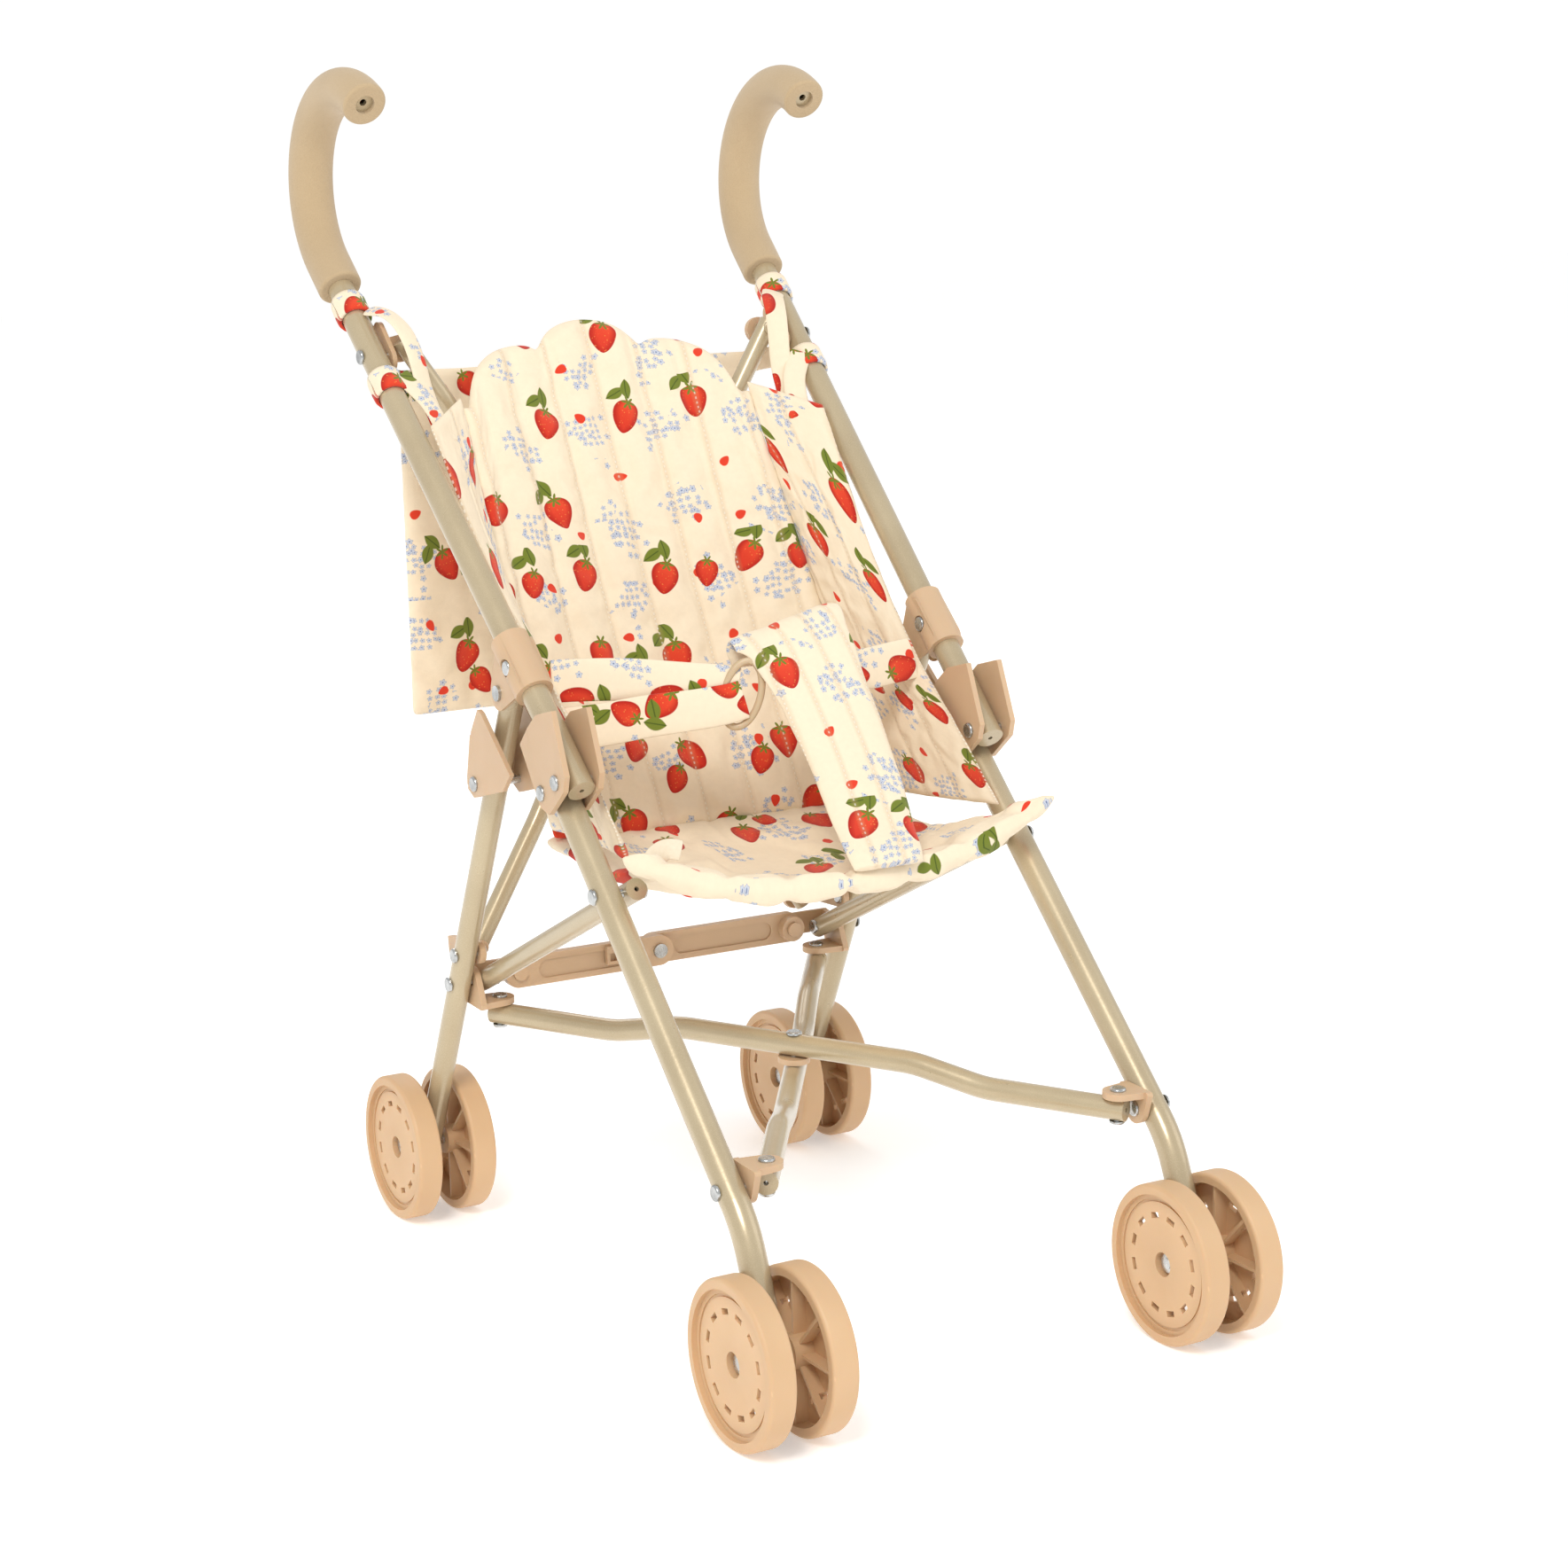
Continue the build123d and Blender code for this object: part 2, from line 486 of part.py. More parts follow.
rear_cross -= plate(PLATE_X[0] - 5, PLATE_X[1] + 5, (CROSS_REAR, 2.5), (slot_end, 2.5), ((302.2, 129.1), 2.5))
rear_cross -= rod(*cross_pin(1, 1, 3, 6), RIVET_R + RUN)
save_pair("cross_bracket_rear", rear_cross)

# ---- folding strut --------------------------------------------------------------------
def strut_half(side, y_front, boss_y, rib_depth):
    """One strut bar with a round boss over its stud, in its own layer."""
    face = Plane(origin=(0, y_front + STRUT_T, 0), x_dir=(1, 0, 0), z_dir=(0, -1, 0))
    middle_x = side * STRUT_PIN_X / 2
    shape = Pos(middle_x, STRUT_PIN_Z) * SlotCenterToCenter(STRUT_PIN_X, STRUT_H)
    bar = extrude(face * shape, amount=STRUT_T)
    groove = Pos(middle_x, STRUT_PIN_Z) * SlotCenterToCenter(STRUT_PIN_X - 30, STRUT_H - 6)
    bar -= extrude(face.offset(STRUT_T - rib_depth) * groove, amount=STRUT_T)
    pin_x = side * STRUT_PIN_X
    bar += rod(Vector(pin_x, boss_y[0], STRUT_PIN_Z), Vector(pin_x, boss_y[1], STRUT_PIN_Z), 6.4)
    return bar - rod(Vector(pin_x, 280, STRUT_PIN_Z), Vector(pin_x, 330, STRUT_PIN_Z), 2.4 + RUN)


boss_span = (STRUT_FRONT_Y, EAR_Y[0] - GAP)
rear_layer_y = STRUT_FRONT_Y + STRUT_T + GAP
strut_left = strut_half(-1, STRUT_FRONT_Y, boss_span, 0.9)
strut_left += Pos(-27, STRUT_FRONT_Y - 1.2, STRUT_PIN_Z + 2) * Box(7, 2.6, 9)
strut_left -= Pos(-27, STRUT_FRONT_Y - 1.6, STRUT_PIN_Z + 1) * Box(3.6, 2.6, 4)
strut_left -= rod(Vector(0, 290, STRUT_PIN_Z), Vector(0, 305, STRUT_PIN_Z), RIVET_R)
strut_right = strut_half(1, rear_layer_y, boss_span, 0.9)
save("strut_bar_left", strut_left)
save("strut_bar_right", strut_right)
strut_face = STRUT_FRONT_Y
strut_rivet = rod(Vector(0, strut_face, STRUT_PIN_Z), Vector(0, strut_face + STRUT_T, STRUT_PIN_Z), RIVET_R)
strut_rivet += rod(Vector(0, strut_face - HEAD_H, STRUT_PIN_Z), Vector(0, strut_face, STRUT_PIN_Z), HEAD_R)
save("strut_rivet", strut_rivet)

# ---- cross frame behind the seat back -------------------------------------------------
# each bar runs from a bracket on one rear leg to the other handle tube's top bracket
bar_run = BACK_LOW_PIN[0] + BACK_TOP_PIN[0]
back_bar_half = hypot(bar_run, 2 * back_half) / 2
back_turn = degrees(atan2(bar_run, 2 * back_half))
back_middle_x = (BACK_TOP_PIN[0] - BACK_LOW_PIN[0]) / 2
for name, side, lift in (("right", 1, BACK_LIFT), ("left", -1, -BACK_LIFT)):
    plane = BACK * Pos(-side * back_middle_x, 0, 0)
    bar = crossing_bar(plane, side * back_turn, back_bar_half, lift, BACK_R, 4, 60)
    foot = (side * BACK_LOW_PIN[0], -back_half)
    head = (-side * BACK_TOP_PIN[0], back_half)
    bar -= rod(spot(BACK, *foot, -9), spot(BACK, *foot, 9), RIVET_R + RUN)
    bar -= rod(spot(BACK, *head, -BACK_R), spot(BACK, *head, BACK_R), RIVET_R)
    bar += rivet(spot(BACK, *head, -BACK_R + 0.2), spot(BACK, *head, BACK_R))
    save(f"back_bar_{name}", bar)

back_bracket = plate(*PLATE_X, (BACK_PIVOT, 5.5), (322.6, 138.2), (325.4, 137.6), (326.2, 145), (323.4, 145.4))
foot_tab = make_hull((
    Pos(BACK_LOW_PIN[0], -back_half) * CenterArc((0, 0), 6, 0, 360)
    + Pos(PLATE_X[1] - 0.6, -back_half + 5) * CenterArc((0, 0), 0.6, 0, 360)
    + Pos(PLATE_X[1] - 0.6, -back_half - 2) * CenterArc((0, 0), 0.6, 0, 360)).edges())
back_bracket += extrude(BACK.offset(-BACK_R - GAP - TAB_T) * foot_tab, amount=TAB_T)
back_bracket -= cross_rod(BACK_PIVOT, 90, 110, RIVET_R + RUN)
foot_out = spot(BACK, BACK_LOW_PIN[0], -back_half, -BACK_R - GAP - TAB_T)
foot_in = spot(BACK, BACK_LOW_PIN[0], -back_half, BACK_R)
back_bracket += rivet(foot_out, foot_in)
save_pair("back_bracket", back_bracket)

# ---- fabric, as plain closed solids ---------------------------------------------------
# seat back: a slab between the handle tubes with a scalloped top of three lobes
rise = Vector(0, BACK_HEAD[0] - BACK_FOOT[0], BACK_HEAD[1] - BACK_FOOT[1])
back_length = rise.length
FABRIC_BACK = Plane(origin=at(0, BACK_FOOT), x_dir=(1, 0, 0), z_dir=Vector(1, 0, 0).cross(rise.normalized()))
BACK_T = 9.0
BACK_BOW = 12.0           # the side edges stand this far forward of the middle
body_top = back_length - 26
slab = Pos(0, body_top / 2) * Rectangle(2 * SEAT_HALF, body_top)
slab += Pos(0, back_length - 30) * Circle(30)
for side in (-1, 1):
    slab += Pos(side * 52, back_length - 40) * Circle(27)
backrest = extrude(FABRIC_BACK * slab, amount=60, both=True)
bow_r = (SEAT_HALF**2 + BACK_BOW**2) / (2 * BACK_BOW)
bow = Pos(0, 0, bow_r) * Rot(X=-90) * (Cylinder(bow_r + BACK_T / 2, 600) - Cylinder(bow_r - BACK_T / 2, 600))
save("backrest", backrest & FABRIC_BACK * bow)

# seat: a pan from the front lip to the foot of the seat back
LIP = (112.0, 203.0)
seat_end = (BACK_FOOT[0] - 9, BACK_FOOT[1] - 6)
seat = plate(-SEAT_HALF, SEAT_HALF, (LIP, 6.5), ((150, 194), 5.0), ((seat_end[0] - 10, seat_end[1] - 8), 5.0))
# the front corners of the seat rise outwards over the legs
CORNER = Plane(origin=(0, LIP[0] + 8, 0), x_dir=(1, 0, 0), z_dir=(0, -1, 0))
corner = extrude(CORNER * Polygon((80, 200), (112, 215), (112, 221), (80, 206), align=None), amount=11.5)
seat += corner + mirror(corner, about=Plane.YZ)
save("seat_pad", seat)

# side wings: panels from the tubes down to the seat
wing = plate(*WING_X, ((124, 217), 4), ((166, 214), 3), ((236, 212), 3), ((322, 392), 5), ((300, 391), 5))
save_pair("side_wing", wing)

# hangers: a ring round the handle tube above the top bracket, with a strap to the seat back
ring_low = handle_at(TOP_BRACKET_AT + 17)
ring_high = handle_at(TOP_BRACKET_AT + 31)
hanger = rod(ring_low, ring_high, LEG_R + 2.0) - rod(ring_low, ring_high, LEG_R + 0.4)
save_pair("hanger_loop", hanger)

# rear bag: a flat pocket that hangs behind the crossing bars
BAG_Y = 368.0
save("rear_bag", Pos(0, BAG_Y + 3, 333) * Box(196, 6, 174))

# lap belts, crotch strap and the ring that joins them
belt_right = extrude(
    Plane(origin=(86, 204, 280), z_dir=Vector(-68, -18, -4)) * Rectangle(2.6, 20), amount=44)
belt_left = extrude(
    Plane(origin=(-86, 204, 280), z_dir=Vector(72, -18, -10)) * Rectangle(2.6, 20), amount=62)
save("lap_belt_right", belt_right)
save("lap_belt_left", belt_left)
STRAP_X = 20.0            # the crotch strap sits to the right of the middle
strap_foot = Vector(STRAP_X, 119, 213)
strap_head = Vector(STRAP_X, 186, 300)
strap_dir = strap_head - strap_foot
strap_face = Plane(origin=strap_foot, x_dir=(1, 0, 0), z_dir=strap_dir)
save("crotch_strap", extrude(strap_face * Rectangle(42, 8), amount=strap_dir.length))
ring_mid = Vector(-14, 184, 268)
ring_face = Plane(origin=ring_mid, z_dir=(-0.6, -0.8, 0.2))
save("belt_ring", extrude(ring_face * (Circle(11) - Circle(8.2)), amount=2.8))

print(len(written), "nodes,", sum(written.values()), "solids")
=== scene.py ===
import json
from math import cos, pi, radians, sin, sqrt

import bpy
from mathutils import Matrix, Vector, noise


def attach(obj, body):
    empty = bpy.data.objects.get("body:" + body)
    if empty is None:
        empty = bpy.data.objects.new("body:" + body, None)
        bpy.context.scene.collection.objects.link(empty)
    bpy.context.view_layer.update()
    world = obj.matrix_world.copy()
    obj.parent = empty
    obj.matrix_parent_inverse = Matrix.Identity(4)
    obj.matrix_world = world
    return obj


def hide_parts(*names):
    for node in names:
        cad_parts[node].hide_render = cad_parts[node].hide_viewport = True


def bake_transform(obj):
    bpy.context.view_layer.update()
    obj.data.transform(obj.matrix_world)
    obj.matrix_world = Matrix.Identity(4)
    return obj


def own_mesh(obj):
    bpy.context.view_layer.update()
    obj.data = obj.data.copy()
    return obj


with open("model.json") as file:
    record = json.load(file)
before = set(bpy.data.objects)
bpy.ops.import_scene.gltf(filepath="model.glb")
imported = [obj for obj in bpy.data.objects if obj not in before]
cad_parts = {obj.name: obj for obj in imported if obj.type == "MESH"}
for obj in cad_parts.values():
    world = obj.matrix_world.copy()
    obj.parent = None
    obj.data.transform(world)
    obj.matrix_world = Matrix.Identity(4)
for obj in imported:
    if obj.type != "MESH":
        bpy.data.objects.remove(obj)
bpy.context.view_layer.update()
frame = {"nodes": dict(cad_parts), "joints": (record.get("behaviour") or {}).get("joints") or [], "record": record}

PIVOT = {joint["name"]: Vector(joint["pos_m"]) for joint in frame["joints"]}
FRONT_AXLE_Y = PIVOT["wheel_spin_front_outer_left"].y
SIDES = (("right", 1), ("left", -1))


def at(x, y, z):
    """A point in metres from millimetres; y is counted from the front axle."""
    return Vector((x / 1000, y / 1000 + FRONT_AXLE_Y, z / 1000))


def lerp(a, b, t):
    """A value between a and b, for t from 0 to 1."""
    return a + (b - a) * t


def smooth(t):
    """A smooth step from 0 to 1, flat outside them."""
    t = min(1.0, max(0.0, t))
    return t * t * (3 - 2 * t)


def polyline(points, t):
    """A point on a smooth line through points, for t from 0 to 1 (Catmull-Rom)."""
    spans = len(points) - 1
    k = min(int(t * spans), spans - 1)
    f = t * spans - k
    p0, p1 = points[max(k - 1, 0)], points[k]
    p2, p3 = points[k + 1], points[min(k + 2, spans)]
    return 0.5 * (2 * p1 + (p2 - p0) * f + (2 * p0 - 5 * p1 + 4 * p2 - p3) * f * f
                  + (3 * p1 - p0 - 3 * p2 + p3) * f * f * f)


# ---- camera, floor and light ------------------------------------------------------------
LENS = 71.36
CAMERA_AT = (-682.63, -1049.31, 505.80)
AZIMUTH, ELEVATION, ROLL = radians(-29.263), radians(11.014), radians(-1.464)
WORLD_LIGHT, WORLD_SEEN = 0.74, 1.02        # world strength on the stroller, and in the background
FLOOR_REACH = 12.0


def make_camera():
    """A long lens from the front left, a little above the seat."""
    back = Vector((sin(AZIMUTH) * cos(ELEVATION), -cos(AZIMUTH) * cos(ELEVATION), sin(ELEVATION)))
    right = Vector((0, 0, 1)).cross(back).normalized()
    up = back.cross(right)
    turned_right = cos(ROLL) * right + sin(ROLL) * up
    turned_up = cos(ROLL) * up - sin(ROLL) * right
    data = bpy.data.cameras.new("camera")
    data.lens, data.sensor_width = LENS, 36.0
    data.clip_start, data.clip_end = 0.05, 30.0
    camera = bpy.data.objects.new("camera", data)
    camera.matrix_world = (
        Matrix.Translation(at(*CAMERA_AT)) @ Matrix((turned_right, turned_up, back)).transposed().to_4x4())
    bpy.context.scene.collection.objects.link(camera)
    bpy.context.scene.camera = camera


def area_light(name, place, target, size, power, colour=(1, 1, 1)):
    """A round soft light at place that faces target."""
    data = bpy.data.lights.new(name, "AREA")
    data.shape, data.size, data.energy, data.color = "DISK", size, power, colour
    light = bpy.data.objects.new(name, data)
    light.location = Vector(place)
    light.rotation_mode = "QUATERNION"
    light.rotation_quaternion = (Vector(target) - Vector(place)).to_track_quat("-Z", "Y")
    bpy.context.scene.collection.objects.link(light)


def make_studio():
    """A white room: the world, three soft lights and a floor."""
    world = bpy.data.worlds.new("studio")
    world.use_nodes = True
    background = world.node_tree.nodes["Background"]
    background.inputs["Color"].default_value = (1.0, 0.995, 0.985, 1)
    seen = world.node_tree.nodes.new("ShaderNodeLightPath").outputs["Is Camera Ray"]
    strength = world.node_tree.nodes.new("ShaderNodeMapRange")
    world.node_tree.links.new(seen, strength.inputs["Value"])
    strength.inputs["To Min"].default_value = WORLD_LIGHT
    strength.inputs["To Max"].default_value = WORLD_SEEN
    world.node_tree.links.new(strength.outputs[0], background.inputs["Strength"])
    bpy.context.scene.world = world
    bpy.context.scene.view_settings.view_transform = "Standard"
    area_light("key", (-1.3, -1.5, 2.2), (0, 0, 0.25), 0.9, 36, (1, 0.985, 0.96))
    area_light("fill", (1.9, -1.2, 1.3), (0, 0, 0.25), 1.6, 7)
    area_light("rim", (0.6, 2.0, 1.7), (0, 0, 0.3), 1.2, 6)
    make_floor()


def make_floor():
    """A large pale floor that glows faintly, so that it meets the background without an edge."""
    mesh = bpy.data.meshes.new("floor")
    corners = [(x * FLOOR_REACH, y * FLOOR_REACH, 0) for x, y in ((-1, -1), (1, -1), (1, 1), (-1, 1))]
    mesh.from_pydata(corners, [], [(0, 1, 2, 3)])
    floor = bpy.data.objects.new("floor", mesh)
    bpy.context.scene.collection.objects.link(floor)
    material = bpy.data.materials.new("floor")
    material.use_nodes = True
    shader = material.node_tree.nodes["Principled BSDF"]
    shader.inputs["Base Color"].default_value = (0.96, 0.96, 0.96, 1)
    shader.inputs["Roughness"].default_value = 0.9
    shader.inputs["Specular IOR Level"].default_value = 0.1
    shader.inputs["Emission Color"].default_value = (1, 1, 1, 1)
    shader.inputs["Emission Strength"].default_value = 0.3
    mesh.materials.append(material)


# ---- material graph helpers -------------------------------------------------------------
class Graph:
    """A material's node tree, with short calls for the maths that patterns need."""

    def __init__(self, name, **sockets):
        self.material = bpy.data.materials.new(name)
        self.material.use_nodes = True
        self.tree = self.material.node_tree
        self.shader = self.tree.nodes["Principled BSDF"]
        for socket, value in sockets.items():
            self.set(self.shader, socket.replace("_", " "), value)

    def set(self, node, socket, value):
        target = node.inputs[socket]
        if isinstance(value, bpy.types.NodeSocket):
            self.tree.links.new(value, target)
        elif isinstance(value, (tuple, list)) and len(value) == 3 and target.type == "RGBA":
            target.default_value = (*value, 1)
        else:
            target.default_value = value

    def node(self, kind, values=(), **settings):
        made = self.tree.nodes.new(kind)
        for key, value in settings.items():
            setattr(made, key, value)
        for socket, value in dict(values).items():
            self.set(made, socket, value)
        return made

    def math(self, operation, a, b=0.0, c=0.0):
        return self.node("ShaderNodeMath", {0: a, 1: b, 2: c}, operation=operation).outputs[0]

    def clamp01(self, a):
        return self.node("ShaderNodeClamp", {0: a}).outputs[0]

    def vector(self, operation, a, b=(0, 0, 0)):
        return self.node("ShaderNodeVectorMath", {0: a, 1: b}, operation=operation).outputs[0]

    def scaled(self, a, factor):
        return self.node("ShaderNodeVectorMath", {0: a, "Scale": factor}, operation="SCALE").outputs[0]

    def turned(self, a, angle):
        values = {"Vector": a, "Angle": angle}
        return self.node("ShaderNodeVectorRotate", values, rotation_type="Z_AXIS").outputs[0]

    def length(self, x, y):
        return self.math("SQRT", self.math("ADD", self.math("MULTIPLY", x, x), self.math("MULTIPLY", y, y)))

    def split(self, a):
        return self.node("ShaderNodeSeparateXYZ", {0: a}).outputs

    def join(self, x, y, z=0.0):
        return self.node("ShaderNodeCombineXYZ", {0: x, 1: y, 2: z}).outputs[0]

    def noise(self, place, scale, detail=2.0, rough=0.5):
        values = {"Vector": place, "Scale": scale, "Detail": detail, "Roughness": rough}
        return self.node("ShaderNodeTexNoise", values).outputs["Fac"]

    def ramp(self, value, low, high, out_low=0.0, out_high=1.0):
        values = {"Value": value, "From Min": low, "From Max": high, "To Min": out_low, "To Max": out_high}
        return self.node("ShaderNodeMapRange", values).outputs[0]

    def mix(self, factor, a, b):
        mixer = self.node("ShaderNodeMix", {0: factor}, data_type="RGBA")
        self.set(mixer, 6, a)
        self.set(mixer, 7, b)
        return mixer.outputs[2]

    def bump(self, height, strength, distance, below=None):
        values = {"Height": height, "Strength": strength, "Distance": distance}
        if below is not None:
            values["Normal"] = below
        return self.node("ShaderNodeBump", values).outputs[0]

    def object_place(self):
        return self.node("ShaderNodeTexCoord").outputs["Object"]


def srgb(r, g, b):
    """Linear colour from 8-bit screen values."""
    return tuple((v / 255 / 12.92) if v <= 10 else ((v / 255 + 0.055) / 1.055) ** 2.4 for v in (r, g, b))


CREAM = srgb(241, 225, 198)
BERRY = srgb(220, 62, 38)
BERRY_DARK = srgb(168, 22, 18)
BERRY_TIP = srgb(240, 108, 60)
LEAF = srgb(112, 124, 42)
LEAF_DARK = srgb(66, 82, 24)
BLOSSOM = srgb(112, 126, 162)
BLOSSOM_PALE = srgb(196, 202, 214)


# ---- the printed cotton -----------------------------------------------------------------
def scatter(g, place, cell, jitter, seed, turn):
    """Repeats a motif in jittered cells: the place inside its cell in mm, and three random numbers."""
    grid = g.vector("ADD", g.scaled(place, 1 / cell), (seed, seed * 1.7, 0))
    index = g.vector("FLOOR", grid)
    chance = g.node("ShaderNodeTexWhiteNoise", {"Vector": index}, noise_dimensions="3D").outputs["Color"]
    middle = g.vector("ADD", g.scaled(g.vector("SUBTRACT", chance, (0.5, 0.5, 0.5)), jitter), (0.5, 0.5, 0))
    local = g.scaled(g.vector("SUBTRACT", g.vector("SUBTRACT", grid, index), middle), cell)
    x, y, _ = g.split(local)
    random = g.split(chance)
    angle = g.math("MULTIPLY", g.math("SUBTRACT", random[0], 0.5), turn)
    return g.turned(g.join(x, y), angle), random


def berry(g, x, y, size):
    """Inside value of a strawberry outline, growing inwards in mm; its tip points down."""
    level = g.math("DIVIDE", y, size)
    arch = g.math("SQRT", g.math("MAXIMUM", g.math("SUBTRACT", 1.0, g.math("MULTIPLY", level, level)), 0.0))
    half = g.math("MULTIPLY", arch, g.math("MULTIPLY_ADD", level, 0.24, 0.80))
    return g.math("SUBTRACT", g.math("MULTIPLY", half, size), g.math("ABSOLUTE", x))


def petals(g, x, y, radius, depth, count):
    """Inside value of a star or blossom outline, and the distance from its middle."""
    away = g.length(x, y)
    angle = g.math("ARCTAN2", y, x)
    wave = g.math("COSINE", g.math("MULTIPLY", angle, float(count)))
    edge = g.math("MULTIPLY_ADD", wave, depth, radius)
    return g.math("SUBTRACT", edge, away), away


def leaf(g, place, length, width, dx, dy, angle):
    """Inside value of a pointed leaf centred at (dx, dy), and the distance across it."""
    x, y, _ = g.split(g.turned(g.vector("SUBTRACT", place, (dx, dy, 0)), angle))
    along = g.math("DIVIDE", y, length)
    belly = g.math("SUBTRACT", 1.0, g.math("MULTIPLY", along, along))
    return g.math("SUBTRACT", g.math("MULTIPLY", belly, width), g.math("ABSOLUTE", x)), x


def mask(g, inside, sharp=2.2):
    """1 inside an outline and 0 outside it, with a soft edge."""
    return g.clamp01(g.math("MULTIPLY", inside, sharp))


def cotton_print(g, place):
    """Cream cloth with strawberries, leaves, small hearts and blossom clusters. place is in mm."""
    wobble = g.noise(place, 0.35, 2)
    colour = g.mix(g.ramp(wobble, 0.3, 0.7), CREAM, tuple(c * 0.965 for c in CREAM))

    # blossoms: small flowers in ragged patches, drawn as a pale petal with a darker edge and eye
    drift = g.node("ShaderNodeTexNoise", {"Vector": place, "Scale": 0.03, "Detail": 0.0}).outputs["Color"]
    bent = g.vector("ADD", place, g.scaled(g.vector("SUBTRACT", drift, (0.5, 0.5, 0.5)), 9.0))
    for cell, radius, reach, seed, gaps in ((3.5, 1.3, 5.2, 3.1, 0.1), (5.2, 1.6, 9.0, 7.7, 0.55)):
        grid = g.scaled(bent, 1 / cell)
        index = g.vector("FLOOR", g.vector("ADD", grid, (seed, seed * 1.7, 0)))
        centre = g.scaled(g.vector("ADD", index, (0.5 - seed, 0.5 - seed * 1.7, 0)), cell)
        patch, _ = scatter(g, g.vector("ADD", centre, (17, -11, 0)), 41.0, 0.35, 0.37, 6.0)
        px, py, _ = g.split(patch)
        away = g.length(px, py)
        ragged = g.math("MULTIPLY", g.noise(centre, 0.21, 2), 7.0)
        dense = g.math("GREATER_THAN", g.math("SUBTRACT", g.math("ADD", ragged, reach), away), 0.0)
        spot, chance = scatter(g, bent, cell, 0.42, seed, 6.0)
        x, y, _ = g.split(spot)
        inside, middle = petals(g, x, y, radius, radius * 0.2, 5)
        rim = g.math("MULTIPLY", g.math("SUBTRACT", inside, 0.1), 2.4)
        edge = g.clamp01(g.math("SUBTRACT", 1.0, rim))
        eye = g.clamp01(g.math("MULTIPLY", g.math("SUBTRACT", radius * 0.32, middle), 4.0))
        ink = g.mix(g.math("MAXIMUM", edge, eye), BLOSSOM_PALE, BLOSSOM)
        shown = g.math("MULTIPLY", dense, g.math("GREATER_THAN", chance[1], gaps))
        colour = g.mix(g.math("MULTIPLY", mask(g, inside, 3.0), shown), colour, ink)

    # small hearts
    spot, chance = scatter(g, place, 29.0, 0.55, 5.3, 5.0)
    x, y, _ = g.split(spot)
    inside = berry(g, x, y, 3.0)
    beside = g.math("ABSOLUTE", x)
    above = g.math("ABSOLUTE", g.math("SUBTRACT", y, 3.2))
    notch = g.math("SUBTRACT", 1.2, g.math("ADD", beside, above))
    small = mask(g, g.math("SUBTRACT", inside, g.math("MAXIMUM", notch, 0.0)))
    colour = g.mix(g.math("MULTIPLY", small, g.math("GREATER_THAN", chance[1], 0.55)), colour, BERRY)

    # strawberries with a calyx, some with a pair of leaves
    seeds = g.node("ShaderNodeTexVoronoi", {"Vector": place, "Scale": 0.62}).outputs["Distance"]
    seed_mark = g.clamp01(g.math("MULTIPLY", g.math("SUBTRACT", 0.24, seeds), 6.0))
    for cell, size, seed, keep in ((43.0, 8.5, 0.37, 0.14), (49.0, 7.2, 2.9, 0.5)):
        spot, chance = scatter(g, place, cell, 0.35, seed, 1.5)
        show = g.math("GREATER_THAN", chance[1], keep)
        x, y, _ = g.split(spot)
        for dx, dy, angle in ((-7.2, 10.8, 0.8), (-2.2, 14.6, -0.4)):
            blade, across = leaf(g, spot, 5.6, 3.3, dx, dy, angle)
            vein = g.clamp01(g.math("MULTIPLY", g.math("ABSOLUTE", across), 2.0))
            green = g.mix(vein, LEAF_DARK, LEAF)
            leafy = g.math("MULTIPLY", show, g.math("GREATER_THAN", chance[2], 0.5))
            colour = g.mix(g.math("MULTIPLY", mask(g, blade), leafy), colour, green)
        inside = berry(g, x, y, size)
        body = g.math("MULTIPLY", mask(g, inside), show)
        lit = g.ramp(g.math("ADD", g.math("MULTIPLY", x, 0.6), y), -size, size)
        red = g.mix(lit, BERRY_DARK, g.mix(g.ramp(y, -size, size), BERRY, BERRY_TIP))
        red = g.mix(g.ramp(inside, 0.0, size * 0.45), BERRY_DARK, g.mix(0.7, red, BERRY))
        red = g.mix(g.math("MULTIPLY", seed_mark, 0.55), red, srgb(244, 168, 84))
        colour = g.mix(body, colour, red)
        cap, _ = petals(g, x, g.math("SUBTRACT", y, size * 0.86), size * 0.30, size * 0.17, 6)
        colour = g.mix(g.math("MULTIPLY", mask(g, cap), show), colour, LEAF)
    return colour


THREAD = 0.62        # from one thread of the weave to the next, in mm
STITCH = 2.6         # from one stitch to the next, in mm


